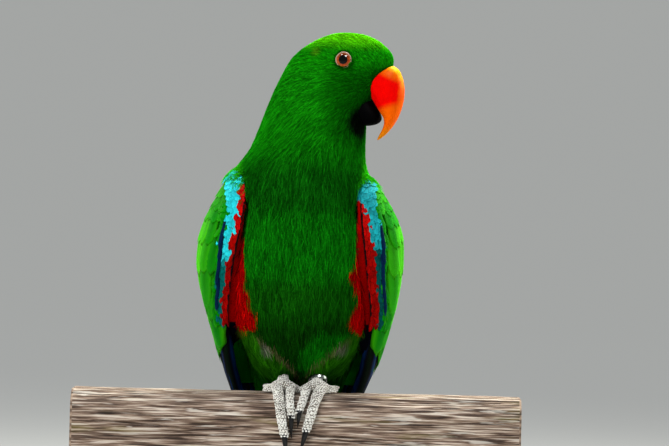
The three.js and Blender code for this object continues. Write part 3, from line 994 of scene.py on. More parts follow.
    def _thighs(self, colour: Array, places: Array, tracts: Array) -> Array:
        """Adds the thighs' olive green and their grey-brown upper edges."""
        past = self.past_belly(places)
        on_thigh = np.maximum(smooth_step(-0.6, 0.6, past), tracts == Tract.THIGH.value)
        tone = 0.55 + 0.9 * value_noise(places, (4.0, 4.0, 9.0), 15)
        colour = blend(colour, np.asarray(self.THIGH) * tone[:, None], 0.85 * on_thigh)
        x, y, z = places.T
        wide = np.interp(z, [12, 22, 31], [1.0, 1.5, 2.2])
        edge = smooth_step(1.0, 0.4, np.abs(past - 0.5 * wide + 0.6) / wide) * smooth_step(34, 30, z)
        colour = blend(colour, self.THIGH_EDGE, 0.55 * edge)
        for top_x, top_z in self.THIGH_TOPS:
            grey = smooth_step(4.6, 1.5, np.hypot(x - top_x, z - top_z)) * (y < 10)
            colour = blend(colour, self.THIGH_GREY, 0.6 * on_thigh * grey)
        return colour

    # How far out from the wing's front edge the red and the blue reach, by height, and where cyan begins.
    RED_ENDS = {
        Side.RIGHT: ((38, 0), (42, 4), (76, 4), (79, 2.3), (84, 2.3), (87, 5), (90, 5), (93, 3.7), (104, 3.7),
                     (107, 2.6), (116, 2.4), (119, 0)),
        Side.LEFT: ((38, 0), (42, 5), (70, 5.5), (75, 6.8), (80, 5.5), (88, 4.6), (105, 4.8), (109, 2),
                    (112, 0)),
    }
    BLUE_ENDS = {
        Side.RIGHT: ((40, 6.5), (62, 6.5), (64, 7.6), (76, 7.8), (84, 8.6), (90, 9.4), (98, 9.2), (105, 8.2),
                     (112, 9), (120, 9.8), (127, 9.4), (131, 11)),
        Side.LEFT: ((40, 7.5), (60, 8.6), (75, 9.2), (88, 10.8), (98, 10.6), (106, 8.4), (114, 7),
                    (122, 6.2), (131, 6)),
    }
    CYAN_FROM = {Side.RIGHT: 78, Side.LEFT: 87}
    # The left wing's blues lie in its own shade.
    BLUE_SHADE = {Side.RIGHT: 1.0, Side.LEFT: 0.56}

    def wing(self, out: Array, height: Array, side: Side, luck: Array) -> Array:
        """Colour of a wing feather by where it shows.

        Args:
            out: Millimetres out from the wing's front edge.
            height: Height over the rail's top.
            side: Which wing.
            luck: A random share for each feather.

        Returns:
            Linear colours.
        """
        red_end = along_table(height, self.RED_ENDS[side])
        blue_end = along_table(height, self.BLUE_ENDS[side])
        # Lime towards the wing's top is painted rim light; a little random lime goes on some feathers.
        lime = smooth_step(0.4, 1.0, luck) * 0.14 + 0.35 * smooth_step(110, 124, height)
        colour = blend(np.tile(self.WING, (len(out), 1)), self.WING_RIM, lime)
        band = smooth_step(-2.5, 2.5, height - self.CYAN_FROM[side])
        blue = blend(np.tile(self.TEAL, (len(out), 1)), self.CYAN, band * (0.72 + 0.28 * luck))
        blue = blue * self.BLUE_SHADE[side]
        mixed = (height > 118) & (out > blue_end - 2.0) & (luck < 0.25)
        colour = blend(colour, blue, ((out < blue_end) & ~mixed).astype(float))
        red = np.asarray(self.RED) * (0.6 + 0.5 * luck + 0.5 * smooth_step(84, 98, height))[:, None]
        colour = blend(colour, red, ((out < red_end) & (red_end > 0)).astype(float))
        # Near black low at the wing's front: the dark primaries, and painted shadow.
        return blend(colour, self.NIGHT, ((height < 40) & (out < 8)).astype(float))


MARKINGS = Markings()


# Skin


def search_tree(meshes: list[Mesh]) -> BVHTree:
    """One search tree over the faces of all meshes, in their order."""
    points: list[Any] = []
    faces: list[Any] = []
    for mesh in meshes:
        base = len(points)
        points.extend(vertex.co[:] for vertex in mesh.vertices)
        faces.extend([base + index for index in polygon.vertices] for polygon in mesh.polygons)
    return BVHTree.FromPolygons(points, faces)


class WingFit:
    """Moves each wing's front edge to where the photo shows it."""

    # How far out the front edge moves, by height.
    OUTWARD = {
        Side.RIGHT: ((30, 2), (47, 2.2), (71, 2.4), (88, 1.2), (100, -0.6), (111, -2.3), (120, -2), (128, 0)),
        Side.LEFT: ((30, 1.6), (47, 1.8), (66, 2.7), (89, 2.1), (111, 0), (128, 0)),
    }

    @classmethod
    def fitted(cls, places: Array, side: Side) -> Array:
        """Wing places with those at the front moved out or in, in bird millimetres."""
        step = along_table(places[..., 2], cls.OUTWARD[side]) * smooth_step(18, -12, places[..., 1])
        forward = np.clip(-step, 0, None) * 0.5
        return places + np.stack([side.value * step, -forward, 0 * step], axis=-1)


class FleshMap:
    """Tells which tract of plumage a place belongs to, from the nearest flesh node."""

    def __init__(self) -> None:
        """Joins the flesh nodes in one search tree."""
        meshes = [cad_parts[node].data for node in FLESH]
        self.tree = search_tree(meshes)
        sizes = [len(mesh.polygons) for mesh in meshes]
        self.owners = np.repeat([tract.value for tract in TRACT_OF_NODE], sizes)

    def tracts(self, points: Array) -> Array:
        """The Tract value of each metre place."""
        return self.owners[[self.tree.find_nearest(point)[2] for point in points.tolist()]]


@dataclass
class Skin:
    """The one skin of the feathered body. It lies inside the flesh nodes by the coat's depth."""

    voxel: float = 1.35
    passes: int = 7
    swell: float = 0.3
    wing_floor: float = 1.0
    face_depth: float = 0.3
    thigh_step: float = 1.8

    def depth(self, places: Array, tracts: Array) -> Array:
        """The coat's depth in millimetres at bird places."""
        head = HEAD.local(places)
        depth = np.interp(places[:, 2], [96, 135, 172, 190], [2.4, 2.2, 1.3, 1.1])
        depth = np.where(tracts == Tract.THIGH.value, 1.4, depth)
        depth = np.where(tracts == Tract.WING.value, 0.9, depth)
        for eye in HEAD.eyes.values():
            near = smooth_step(10, 5.5, np.linalg.norm(places - eye, axis=1))
            depth = depth + (self.face_depth - depth) * near
        bill = smooth_step(9, 3, np.abs(head[:, 0] - 24)) * smooth_step(-46, -36, head[:, 2])
        return depth + (self.face_depth - depth) * bill

    def build(self, flesh: FleshMap) -> Object:
        """Makes the skin.

        Args:
            flesh: Finds the tract of each place.

        Returns:
            The skin, riding on the body.
        """
        form = merged_form(["head", "neck", "trunk", "thigh_right", "thigh_left"], self.swell * MM)
        eyes = merged_form(["eye_right", "eye_left"])
        bmesh.ops.translate(eyes, verts=eyes.verts, vec=(0, 0, -HEAD.eye_drop * MM))
        floor = ORIGIN[2] + self.wing_floor * MM
        wings = merged_form(["wing_right", "wing_left"], self.swell * MM, floor)
        for extra in (eyes, wings):
            part = form_mesh(extra)
            if extra is wings:
                moved = bird_mm(vertex_places(part))
                sides = [WingFit.fitted(moved, side) for side in Side]
                set_places(part, metres(np.where(moved[:, :1] < 0, *sides)))
            form.from_mesh(part)
            bpy.data.meshes.remove(part)
        mesh = remeshed(form, self.voxel * MM, self.passes)
        mesh.name = "skin"
        places = vertex_places(mesh)
        self.tracts = flesh.tracts(places)
        inward = (self.depth(bird_mm(places), self.tracts) + self.swell)[:, None] * MM
        step = self.thigh_step * smooth_step(0, 3, MARKINGS.past_belly(bird_mm(places)))
        step = step * (self.tracts != Tract.WING.value)
        sunk = places - vertex_normals(mesh) * (inward + step[:, None] * MM)
        set_places(mesh, relaxed(sunk, edge_ends(mesh), 2))
        colour = MARKINGS.body(bird_mm(sunk), self.tracts) * 0.45
        wing = (self.tracts == Tract.WING.value).astype(float)
        at = bird_mm(sunk)
        for side in Side:
            edge = along_table(at[:, 2], MARKINGS.WING_EDGES[side])
            out = np.where(at[:, 1] < 22, side.value * at[:, 0] - edge, 60.0)
            under = MARKINGS.wing(out, at[:, 2], side, np.full(len(at), 0.5)) * 0.8
            colour = blend(colour, under, wing * (side.value * at[:, 0] > 0))
        paint(mesh, colour)
        piece = dress(object_of("skin", mesh), PlumageFinish("skin_down").material())
        return adopt(piece, FLESH)


# Body feathers


@dataclass
class Coat:
    """Narrow vanes over the head, neck, trunk and thighs, laid along the way that feathers lie."""

    pieces: int = 7
    total: int = 118000
    guards: float = 0.3
    seed: int = 20
    patch: float = 0.003
    eye_clear: float = 5.1
    bill_root: tuple[float, float, float] = (17.0, 0.0, -9.0)

    @staticmethod
    def on_thigh(places: Array, tracts: Array) -> Array:
        """Where a thigh's own feathers grow, by its node or by the belly's edge."""
        return (tracts == Tract.THIGH.value) | (MARKINGS.past_belly(places) > 0)

    def lie(self, places: Array, normals: Array, tracts: Array) -> Array:
        """The way that feathers point along the skin.

        Args:
            places: Bird millimetres.
            normals: Outward directions.
            tracts: The Tract value of each place.

        Returns:
            Unit directions in the skin's surface.
        """
        root = HEAD.place(*self.bill_root)
        away = unit(places - root)
        z = places[:, 2]
        back = np.interp(z, [-20, 30, 60, 120], [0.75, 0.45, 0.12, 0.0])
        down = unit(np.stack([np.zeros(len(z)), back, -np.ones(len(z))], axis=1))
        on_thigh = self.on_thigh(places, tracts)
        hub = np.where(places[:, 0] > 1.9, 11.0, -8.0)
        hang = np.stack([0.35 * (hub - places[:, 0]), 0 * z - 2.5, -(z + 8)], axis=1)
        down = np.where(on_thigh[:, None], unit(hang), down)
        share = smooth_step(96, 186, z)[:, None]
        way = away * share + down * (1 - share)
        for eye in HEAD.eyes.values():
            from_eye = places - eye
            near = smooth_step(11, 5, np.linalg.norm(from_eye, axis=1))[:, None]
            way = way + 1.4 * near * unit(from_eye)
        way = way - normals * np.sum(way * normals, axis=1, keepdims=True)
        return unit(way)

    def length(self, places: Array, tracts: Array) -> Array:
        """Feather length in millimetres."""
        head = HEAD.local(places)
        z = places[:, 2]
        length = np.interp(z, [8, 24, 40, 90, 125, 150, 180], [19, 17, 13.5, 12.5, 10.5, 8.5, 6.0])
        length = np.where(z < -20, 13.0, length)
        length = np.where(self.on_thigh(places, tracts), np.interp(z, [14, 28], [16.0, 10.5]), length)
        from_bill = np.linalg.norm(places - HEAD.place(*self.bill_root), axis=1)
        length = np.minimum(length, np.interp(from_bill, [12, 22, 40, 60], [2.2, 3.2, 5.5, 9.0]))
        for eye in HEAD.eyes.values():
            from_eye = np.linalg.norm(places - eye, axis=1)
            length = np.minimum(length, np.interp(from_eye, [5.5, 9, 16, 18], [1.7, 2.8, 5.5, 20.0]))
        return np.where(head[:, 2] < -44, length, np.minimum(length, 8.5))

    def roots(self, skin: Object, skin_tracts: Array) -> tuple[Array, Array, Array]:
        """Picks where the vanes grow.

        Args:
            skin: The finished skin.
            skin_tracts: The Tract value of each of its vertices.

        Returns:
            Root places in bird millimetres, their normals and their Tract values.
        """
        mesh = skin.data
        mesh.calc_loop_triangles()
        corners = read_items(mesh.loop_triangles, "vertices", 3, np.int32)
        places = bird_mm(vertex_places(mesh))
        normals = vertex_normals(mesh)
        tract = skin_tracts[corners[:, 0]]
        middle = places[corners].mean(axis=1)
        sides = places[corners[:, 1:]] - places[corners[:, :1]]
        area = 0.5 * np.linalg.norm(np.cross(sides[:, 0], sides[:, 1]), axis=1)
        length = self.length(middle, tract)
        weight = area / (length * self.width(length))
        weight *= (tract != Tract.WING.value) * np.where(middle[:, 2] < -20, 0.5, 1.0)
        # Low vanes at the sides would stand out past the folded wings.
        weight *= (np.abs(middle[:, 0]) < 36) | (middle[:, 2] > 31) | (middle[:, 1] > 24)
        for eye in HEAD.eyes.values():
            weight *= np.linalg.norm(middle - eye, axis=1) > self.eye_clear + 0.9
        rng = np.random.default_rng(self.seed)
        ladder = np.cumsum(weight)
        picks = (np.arange(self.total) + rng.random(self.total)) / self.total * ladder[-1]
        chosen = np.minimum(np.searchsorted(ladder, picks), len(ladder) - 1)
        share = rng.random((self.total, 2))
        share = np.where(share.sum(axis=1, keepdims=True) > 1, 1 - share, share)
        weights = np.stack([1 - share.sum(axis=1), share[:, 0], share[:, 1]], axis=1)[..., None]
        where = (places[corners[chosen]] * weights).sum(axis=1)
        facing = unit((normals[corners[chosen]] * weights).sum(axis=1))
        return where, facing, tract[chosen]

    @staticmethod
    def width(length: Array) -> Array:
        """Vane width in millimetres for a length."""
        return np.interp(length, [1.7, 3, 6, 9, 13], [0.36, 0.4, 0.46, 0.52, 0.6])

    def build(self, skin: Skin, body: Object) -> list[Object]:
        """Grows the vanes.

        Args:
            skin: Gives the coat's depth.
            body: The skin's object.

        Returns:
            The coat's pieces.
        """
        where, facing, tracts = self.roots(body, skin.tracts)
        rng = np.random.default_rng(self.seed + 1)
        count = len(where)
        guard = rng.random(count) < self.guards
        length = self.length(where, tracts) * rng.uniform(0.78, 1.22, count) * np.where(guard, 1.3, 1.0)
        width = self.width(length) * rng.uniform(0.8, 1.2, count) * np.where(guard, 0.62, 1.1)
        depth = skin.depth(where, tracts) * rng.uniform(0.75, 1.0, count) * np.where(guard, 1.12, 1.0)
        cling = self.cling(where)[:, None]
        tree = search_tree([body.data])
        sway = rng.normal(0, 0.13, (count, 3)) * np.where(guard, 1.5, 1.0)[:, None]
        spine, normals, ways = [where], [facing], [unit(self.lie(where, facing, tracts) + sway)]
        for _ in range(3):
            ahead = spine[-1] + ways[-1] * (length / 3)[:, None]
            found = [tree.find_nearest(point) for point in metres(ahead).tolist()]
            landed = bird_mm(np.array([hit[0][:] for hit in found]))
            spine.append(ahead + (landed - ahead) * cling)
            normals.append(unit(blend(normals[-1], np.array([hit[1][:] for hit in found]), cling[:, 0])))
            lie = self.lie(spine[-1], normals[-1], tracts)
            ways.append(unit(ways[-1] + (lie + sway - ways[-1]) * cling))
        lift = np.where(guard, [[0.1], [0.8], [1.0], [1.08]], [[-0.25], [0.36], [0.72], [0.92]])
        breadth = (0.6, 1.0, 0.85)
        rings = []
        for step in range(3):
            across = unit(np.cross(ways[step], normals[step])) * (width * breadth[step] / 2)[:, None]
            middle = spine[step] + normals[step] * (depth * lift[step])[:, None]
            ridge = middle + normals[step] * (0.22 * width)[:, None]
            rings += [middle - across, ridge, middle + across]
        rings.append(spine[3] + normals[3] * (depth * lift[3])[:, None])
        points = metres(np.stack(rings, axis=1))
        tints = self._tints(blend(where, spine[2], np.full(count, 0.9)), tracts, guard, rng)
        unwrap = self._unwrap(where)
        tip_x, tip_y, tip_z = spine[3].T
        kept = (np.abs(tip_x) < 36.5) | (tip_z > 32) | (tip_z < -20) | (tip_y > 24)
        points, tints, unwrap = points[kept], tints[kept], unwrap[kept]
        return [self._piece(number, points, tints, unwrap) for number in range(self.pieces)]

    @staticmethod
    def cling(where: Array) -> Array:
        """How closely a vane follows the skin: 1 all along it, and less where it hangs free of it."""
        _, y, z = where.T
        middle = smooth_step(34, 16, z) * smooth_step(18, 8, y) * (MARKINGS.past_belly(where) < 0)
        low_thigh = smooth_step(24, 14, z) * (y < 20)
        return 1 - 0.88 * np.maximum(middle, low_thigh)

    def _tints(self, where: Array, tracts: Array, guard: Array, rng: np.random.Generator) -> Array:
        """Ten colours for each vane, darker at its root, with its own brightness."""
        base = MARKINGS.body(where, tracts)
        spread = np.where(guard, 0.5, 0.24)
        tone = np.where(guard, 1.2, 0.93) * np.clip(1 + spread * rng.normal(size=len(where)), 0.4, 1.8)
        steps = np.repeat([0.5, 0.85, 1.0], 3).tolist() + [1.08]
        side = np.array([0.88, 1.06, 0.88] * 3 + [1.0])
        return base[:, None, :] * (tone[:, None] * np.array(steps) * side)[..., None]

    def _unwrap(self, where: Array) -> Array:
        """A small patch for each vane at its root's place round and up the body's own axis."""
        x, y, z = where.T
        axis_x = np.interp(z, [100, 150, 190], [0, 6, 21])
        axis_y = np.interp(z, [-54, 0, 60, 100, 200], [71, 40, 5, -3, -12])
        round_share = np.arctan2(x - axis_x, axis_y - y) / (2 * math.pi) + 0.5
        up_share = (z + 60) / 272
        place = np.stack([round_share, up_share], axis=1) * 0.98 + 0.01
        corner = np.array([(u, v) for v in (0, 0.33, 0.66) for u in (-0.5, 0, 0.5)] + [(0, 1)])
        return place[:, None, :] + corner[None] * self.patch

    def _piece(self, number: int, points: Array, tints: Array, unwrap: Array) -> Object:
        """Every so-many-th vane as one piece, so that each piece covers the whole body."""
        points, tints, unwrap = (rows[number :: self.pieces] for rows in (points, tints, unwrap))
        base = np.arange(len(points))[:, None] * 10
        quads = [(0, 1, 4, 3), (1, 2, 5, 4), (3, 4, 7, 6), (4, 5, 8, 7)]
        tips = [(6, 7, 9), (7, 8, 9)]
        faces = [np.concatenate([base + np.array(f) for f in group]) for group in (quads, tips)]
        piece = mesh_object(
            f"coat_{number + 1}",
            points.reshape(-1, 3),
            faces,
            tints.reshape(-1, 3),
            {"OFBake": unwrap.reshape(-1, 2)},
        )
        return adopt(dress(piece, COAT_MATERIAL))


COAT_MATERIAL = PlumageFinish("contour_feathers").material()
QUILL_MATERIAL = QuillFinish("broad_feathers").material()


# Broad feathers


class Chart:
    """A smooth surface in rows of one height each, from one edge of a node to the other."""

    def __init__(self, rows: Array, heights: Array, passes: int = 3) -> None:
        """Keeps the surface and works out its normals and spans.

        Args:
            rows: Bird places by row and column.
            heights: The rows' heights, falling.
            passes: Smoothing passes over the rows.
        """
        for _ in range(passes):
            inner = rows[1:-1, 1:-1]
            near = (rows[:-2, 1:-1] + rows[2:, 1:-1] + rows[1:-1, :-2] + rows[1:-1, 2:]) / 4
            rows[1:-1, 1:-1] = (inner + near) / 2
            for edge in (0, -1):
                rows[1:-1, edge] = (rows[1:-1, edge] * 2 + rows[:-2, edge] + rows[2:, edge]) / 4
        self.rows = rows
        self.heights = heights
        steps = np.linalg.norm(np.diff(rows, axis=1), axis=2)
        self.span = steps.sum(axis=1)
        self.normals = unit(np.cross(np.gradient(rows, axis=1), np.gradient(rows, axis=0)))
        if (self.normals * (rows - rows.mean(axis=(0, 1)))).sum() < 0:
            self.normals = -self.normals

    def at(self, share: Array, height: Array) -> tuple[Array, Array]:
        """Places and normals at a share across and a height, tucked in past the edges.

        Args:
            share: 0 at the first edge and 1 at the other.
            height: Millimetres over the rail's top.

        Returns:
            Places and normals with the inputs' shape.
        """
        columns = self.rows.shape[1] - 1
        row = np.interp(-height, -self.heights, np.arange(len(self.heights)))
        low = np.minimum(row.astype(int), len(self.heights) - 2)
        down = (row - low)[..., None]
        column = np.clip(share, 0, 1) * columns
        left = np.minimum(column.astype(int), columns - 1)
        right = (column - left)[..., None]

        def read(grid: Array) -> Array:
            """One grid read between its rows and columns."""
            upper = grid[low, left] * (1 - right) + grid[low, left + 1] * right
            lower = grid[low + 1, left] * (1 - right) + grid[low + 1, left + 1] * right
            return upper * (1 - down) + lower * down

        places, normals = read(self.rows), unit(read(self.normals))
        past = np.abs(share - np.clip(share, 0, 1)) * np.interp(-height, -self.heights, self.span)
        below = np.clip(self.heights[-1] - height, 0, None)
        fall = (self.rows[-1] - self.rows[-4]) / (self.heights[-4] - self.heights[-1])
        return places - normals * past[..., None] + below[..., None] * fall[left], normals

    def slope(self, share: Array, height: Array) -> Array:
        """Millimetres of surface for each millimetre of height."""
        here, _ = self.at(share, height)
        below, _ = self.at(share, height - 2)
        return np.linalg.norm(here - below, axis=-1) / 2


@dataclass(frozen=True)
class BladeShape:
    """The outline and set of one kind of broad feather."""

    blunt: float = 0.55
    root: float = 0.45
    lift: float = 1.0
    sink: float = 0.35
    crown: float = 0.35
    tilt: float = 0.16
    thick: float = 0.16
    root_shade: float = 0.62
    spread: float = 0.1
    across: int = 7
    along: int = 10

    def outline(self, along: Array) -> Array:
        """Half width as a share, from the root to the tip."""
        grow = np.minimum(1, self.root + (1 - self.root) * along / 0.35)
        past = np.clip((along - self.blunt) / (1 - self.blunt), 0, 1)
        return grow * np.sqrt(np.clip(1 - past**2.3, 0.004, 1))


@dataclass
class Blades:
    """Broad feathers laid on a chart, each a thin closed blade with a shaft."""

    chart: Chart
    shape: BladeShape
    seed: int

    def __post_init__(self) -> None:
        """Starts with no feathers."""
        self.points: list[Array] = []
        self.tints: list[Array] = []

    def lay(
        self,
        share: Array,
        height: Array,
        length: Array,
        width: Array,
        colour: Array,
        shape: BladeShape | None = None,
        drift: Array | float = 0.0,
        raise_by: Array | float = 0.0,
        rim: Array | None = None,
        fall: Array | None = None,
    ) -> None:
        """Adds feathers.

        Args:
            share: Each root's share across the chart.
            height: Each root's height.
            length: Lengths in millimetres.
            width: Widths in millimetres.
            colour: A linear colour for each feather.
            shape: The outline, or the blades' own.
            drift: How far the tip moves across, as a share.
            raise_by: Millimetres that the feathers stand over the chart.
            rim: A linear colour for the outer edge of each feather, or none.
            fall: How much lower each tip is than its root. It takes the place of the length.
        """
        shape = shape or self.shape
        rng = np.random.default_rng(self.seed + len(self.points))
        count = len(share)
        a = np.linspace(0, 1, self.shape.along)[None, :, None]
        u = np.linspace(-1, 1, self.shape.across)[None, None, :]
        half = shape.outline(a) * (1 + 0.05 * rng.normal(size=(count, self.shape.along, 1)) * (a > 0.3))

        def column(rows: Array | float) -> Array:
            """One value for each feather, shaped to spread over its points."""
            return np.broadcast_to(np.asarray(rows, float), (count,))[:, None, None]

        if fall is None:
            fall = length / np.maximum(self.chart.slope(share, height), 0.8)
        ends = a - 0.10 * u**2 * (a > 0.5) * (a - 0.5)
        down = column(height) - ends * column(fall)
        span = np.interp(-down, -self.chart.heights, self.chart.span)
        across = column(share) + column(drift) * a + u * half * column(width) / 2 / np.maximum(span, 4)
        places, normals = self.chart.at(across, down)
        high = shape.lift * a**1.3 - shape.sink + shape.crown * (1 - u**2) * half + shape.tilt * u
        high = high + column(raise_by) + 0.1 * rng.normal(size=(count, 1, 1)) * a
        top = places + normals * high[..., None]
        thick = shape.thick * (1 - u**4) * np.sin(math.pi * np.clip(a, 0.02, 0.98))
        bottom = top - normals * thick[..., None]
        self.points.append(np.stack([top, bottom], axis=1))
        # Each feather is darker at its side edges and towards its covered root: painted shade where the
        # feathers overlap, over a random tone.
        tone = rng.normal(1.0, shape.spread, (count, 1, 1)) * (1 - 0.18 * u**6)
        tone = tone * (shape.root_shade + (1.12 - shape.root_shade) * a)
        tint = colour[:, None, None, :] * tone[..., None]
        # The primaries' blue edges and the tail's pale end are their own colours; on the green wing feathers
        # the rim colour is painted rim light.
        if rim is not None:
            edge = smooth_step(0.35, 0.95, np.abs(u)) * (a > 0.15) + smooth_step(0.86, 1.0, a)
            tint = blend(tint, rim[:, None, None, :], np.clip(edge, 0, 1) * 0.6 * np.ones(tone.shape))
        shaft = np.exp(-((u / 0.07) ** 2)) * (1 - a) * 0.5 * np.ones(tone.shape)
        tint = blend(tint, MARKINGS.SHAFT, shaft)
        self.tints.append(np.stack([tint, tint * 0.35], axis=1))

    def piece(self, name: str, slot: str, replaced: tuple[str, ...]) -> Object:
        """Joins the feathers in one object.

        Args:
            name: The piece's name.
            slot: A material slot's name. It is not used.
            replaced: The nodes that it stands for.

        Returns:
            The piece, riding on the body.
        """
        points = np.concatenate(self.points)
        tints = np.concatenate(self.tints)
        count, _, rows, columns, _ = points.shape
        grid = np.arange(rows * columns).reshape(rows, columns)
        under = grid + rows * columns
        for edge in (np.s_[0, :], np.s_[-1, :], np.s_[:, 0], np.s_[:, -1]):
            under[edge] = grid[edge]
        top, low = (
            np.stack([half[:-1, :-1], half[:-1, 1:], half[1:, 1:], half[1:, :-1]], axis=-1).reshape(-1, 4)
            for half in (grid, under)
        )
        one = np.concatenate([top, low[:, [0, 3, 2, 1]]])
        size = 2 * rows * columns
        faces = np.arange(count)[:, None, None] * size + one[None]
        corners = points.reshape(-1, 3)[faces] - points.reshape(count, -1, 3).mean(axis=1)[:, None, None]
        first, second, third, fourth = np.moveaxis(corners, 2, 0)
        volume = np.sum(first * np.cross(second, third) + first * np.cross(third, fourth), axis=(1, 2))
        faces[volume < 0] = faces[volume < 0][..., ::-1]
        used, faces = np.unique(faces.reshape(-1, 4), return_inverse=True)
        u, v = np.meshgrid(np.linspace(0, 1, columns), np.linspace(0, 1, rows))
        vane = np.tile(np.stack([u, v], axis=-1)[None, None], (count, 2, 1, 1, 1))
        cells = math.ceil(math.sqrt(count * 2))
        order = np.arange(count * 2).reshape(count, 2, 1, 1)
        corner = np.stack([order % cells, order // cells], axis=-1)
        bake = (corner + 0.06 + 0.88 * vane) / cells
        piece = mesh_object(
            name,
            metres(points.reshape(-1, 3)[used]),
            [faces.reshape(-1, 4)],
            tints.reshape(-1, 3)[used],
            {"OFBake": bake.reshape(-1, 2)[used], "vane": vane.reshape(-1, 2)[used]},
        )
        return adopt(dress(piece, QUILL_MATERIAL), replaced)


@dataclass
class Wing:
    """One folded wing: coverts, red and blue front edge, long green feathers and dark primaries."""

    side: Side
    rows: int = 84
    columns: int = 72
    reach: float = 150.0

    def chart(self) -> Chart:
        """Reads the wing's outer surface from its node."""
        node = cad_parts["wing_" + self.side.word]
        tree = search_tree([node.data])
        corners = bird_mm(vertex_places(node.data))
        top, bottom = corners[:, 2].max() - 0.8, corners[:, 2].min() + 0.6
        heights = np.linspace(top, bottom, self.rows)
        turns = np.radians(np.arange(-88, 88.5, 1.0))
        found = []
        for height in heights:
            near = corners[np.abs(corners[:, 2] - height) < 8]
            axis = np.array([0.0, (near[:, 1].min() + near[:, 1].max()) / 2, height])
            hits = []
            for turn in turns:
                way = np.array([self.side.value * math.cos(turn), math.sin(turn), 0.0])
                start = metres(axis + way * self.reach)
                hit = tree.ray_cast(start.tolist(), (-way).tolist(), self.reach * MM)
                if hit[0] is not None:
                    hits.append(bird_mm(np.array(hit[0][:])))
            found.append(evened(np.array(hits), self.columns))
        return Chart(WingFit.fitted(np.array(found), self.side), heights)

    def build(self) -> Object:
        """Lays the wing's feathers from the tip up, so that upper ones cover lower ones."""
        chart = self.chart()
        blades = Blades(chart, BladeShape(), 300 + self.side.value)
        self._flight(blades)
        self._coverts(blades, chart)
        self._front(blades, chart)
        return blades.piece("wing_feathers_" + self.side.word, "wing_feathers", ())

    def _flight(self, blades: Blades) -> None:
        """The dark primaries, then the long green feathers over them."""
        # The green feathers' lime edges are painted rim light.
        lime = np.array(MARKINGS.WING_RIM) * 0.9
        dark = BladeShape(blunt=0.62, lift=0.5, crown=0.3, thick=0.4, sink=0.9)
        light = BladeShape(blunt=0.6, lift=0.7, crown=0.4, thick=0.4, sink=0.6)
        dark_tips = ((0, -58), (0.3, -67), (0.5, -60), (0.7, -46), (1.0, -28))
        light_tips = ((0.1, 22), (0.3, 8), (0.6, -10), (1.0, -24))
        dark_way = (np.linspace(0.9, 0.05, 9), dark_tips, 44.0, 17.0)
        light_way = (np.linspace(0.97, 0.12, 11), light_tips, 66.0, 15.0)
        for (share, tips, top, width), colour, rim, shape, drift, raised in (
            (dark_way, MARKINGS.NIGHT, srgb(6, 70, 150), dark, 0.0, -0.2),
            (light_way, np.array(MARKINGS.WING) * 0.95, lime, light, -0.02, 0.1),
        ):
            start, wide = np.full(len(share), top), np.full(len(share), width)
            colours, rims = (np.tile(tone, (len(share), 1)) for tone in (colour, rim))
            fall = start - along_table(share, tips)
            blades.lay(share, start, start, wide, colours, shape, drift, raised, rims, fall)

    @staticmethod
    def _shown(chart: Chart, share: Array, height: Array) -> Array:
        """How much further out than the front edge places show, in millimetres."""
        here, front = (np.abs(chart.at(part, height)[0][:, 0]) for part in (share, 0 * share))
        return here - front

    def _coverts(self, blades: Blades, chart: Chart) -> None:
        """Rows of green coverts that shorten towards the shoulder."""
        rng = np.random.default_rng(40 + self.side.value)
        soft = BladeShape(blunt=0.6, lift=0.6, crown=0.16, tilt=0.08, sink=0.3, root_shade=0.86, spread=0.05)
        edges = MARKINGS.BLUE_ENDS[self.side]
        height = 60.0
        row = 0
        while height < 131:
            length = np.interp(height, [60, 85, 100, 112, 120, 130], [44, 40, 28, 15, 9, 7])
            width = np.interp(height, [60, 85, 100, 112, 120, 130], [15, 14, 12, 8, 5.5, 4.5])
            span = np.interp(-height, -chart.heights, chart.span)
            count = max(int(span / (width * 0.6)), 3)
            share = (np.arange(count) + 0.5 * (row % 2) + 0.25) / count
            share = share[::-1] + rng.normal(0, 0.004, count)
            low = height - 9 * (0.5 - share) + rng.normal(0, 0.6, count)
            shown = self._shown(chart, share, low)
            out = shown + 60 * (share > 0.45)
            keep = out > along_table(low - 0.5 * length, edges) + 0.3 * width
            luck = rng.random(count)
            colour = MARKINGS.wing(out, low, self.side, luck)
            # Coverts far out at the wing's outer edge, lightened to lime: painted rim light.
            rim_light = smooth_step(15.5, 20.5, shown) * (height < 118)
            colour = blend(colour, MARKINGS.WING_RIM, 0.66 * rim_light)
            rim = blend(colour, MARKINGS.WING_RIM, 0.2 + 0.5 * rim_light)
            lengths = length * rng.uniform(0.9, 1.1, count)
            parts = [rows[keep] for rows in (share, low, lengths, np.full(count, width), colour)]
            blades.lay(*parts, soft, rng.normal(0, 0.006, int(keep.sum())), 0.0, rim[keep])
            height += length * 0.3
            row += 1

    def _front(self, blades: Blades, chart: Chart) -> None:
        """Small red, cyan and teal feathers down the front edge."""
        rng = np.random.default_rng(60 + self.side.value)
        edges = MARKINGS.BLUE_ENDS[self.side]
        fine = BladeShape(blunt=0.5, lift=0.7, crown=0.25, thick=0.12, sink=0.25, root_shade=0.8)
        for order, height in enumerate(np.arange(44.0, 131.0, 2.5)):
            count = 10
            out = np.linspace(15.0, 0.3, count) + 0.75 * (order % 2)
            low = height + rng.normal(0, 0.5, count) + 1.5
            share = out / np.interp(-height, -chart.heights, chart.span)
            shown = self._shown(chart, share, low)
            keep = (shown < along_table(low - 3, edges) + 1.8) & (share < 1)
            luck = rng.random(count)
            colour = MARKINGS.wing(shown, low - 3.5, self.side, luck)
            length = rng.uniform(6.5, 8.5, count) * np.interp(height, [70, 84], [1.5, 1.0])
            wider = np.interp(height, [70, 84, 104, 114], [0.85, 1.0, 1.0, 1.3])
            width = rng.uniform(3.0, 3.8, count) * wider
            parts = [rows[keep] for rows in (share, low, length, width, colour)]
            blades.lay(*parts, fine, rng.normal(0, 0.008, int(keep.sum())), 0.55)
        self._lines(blades, chart)

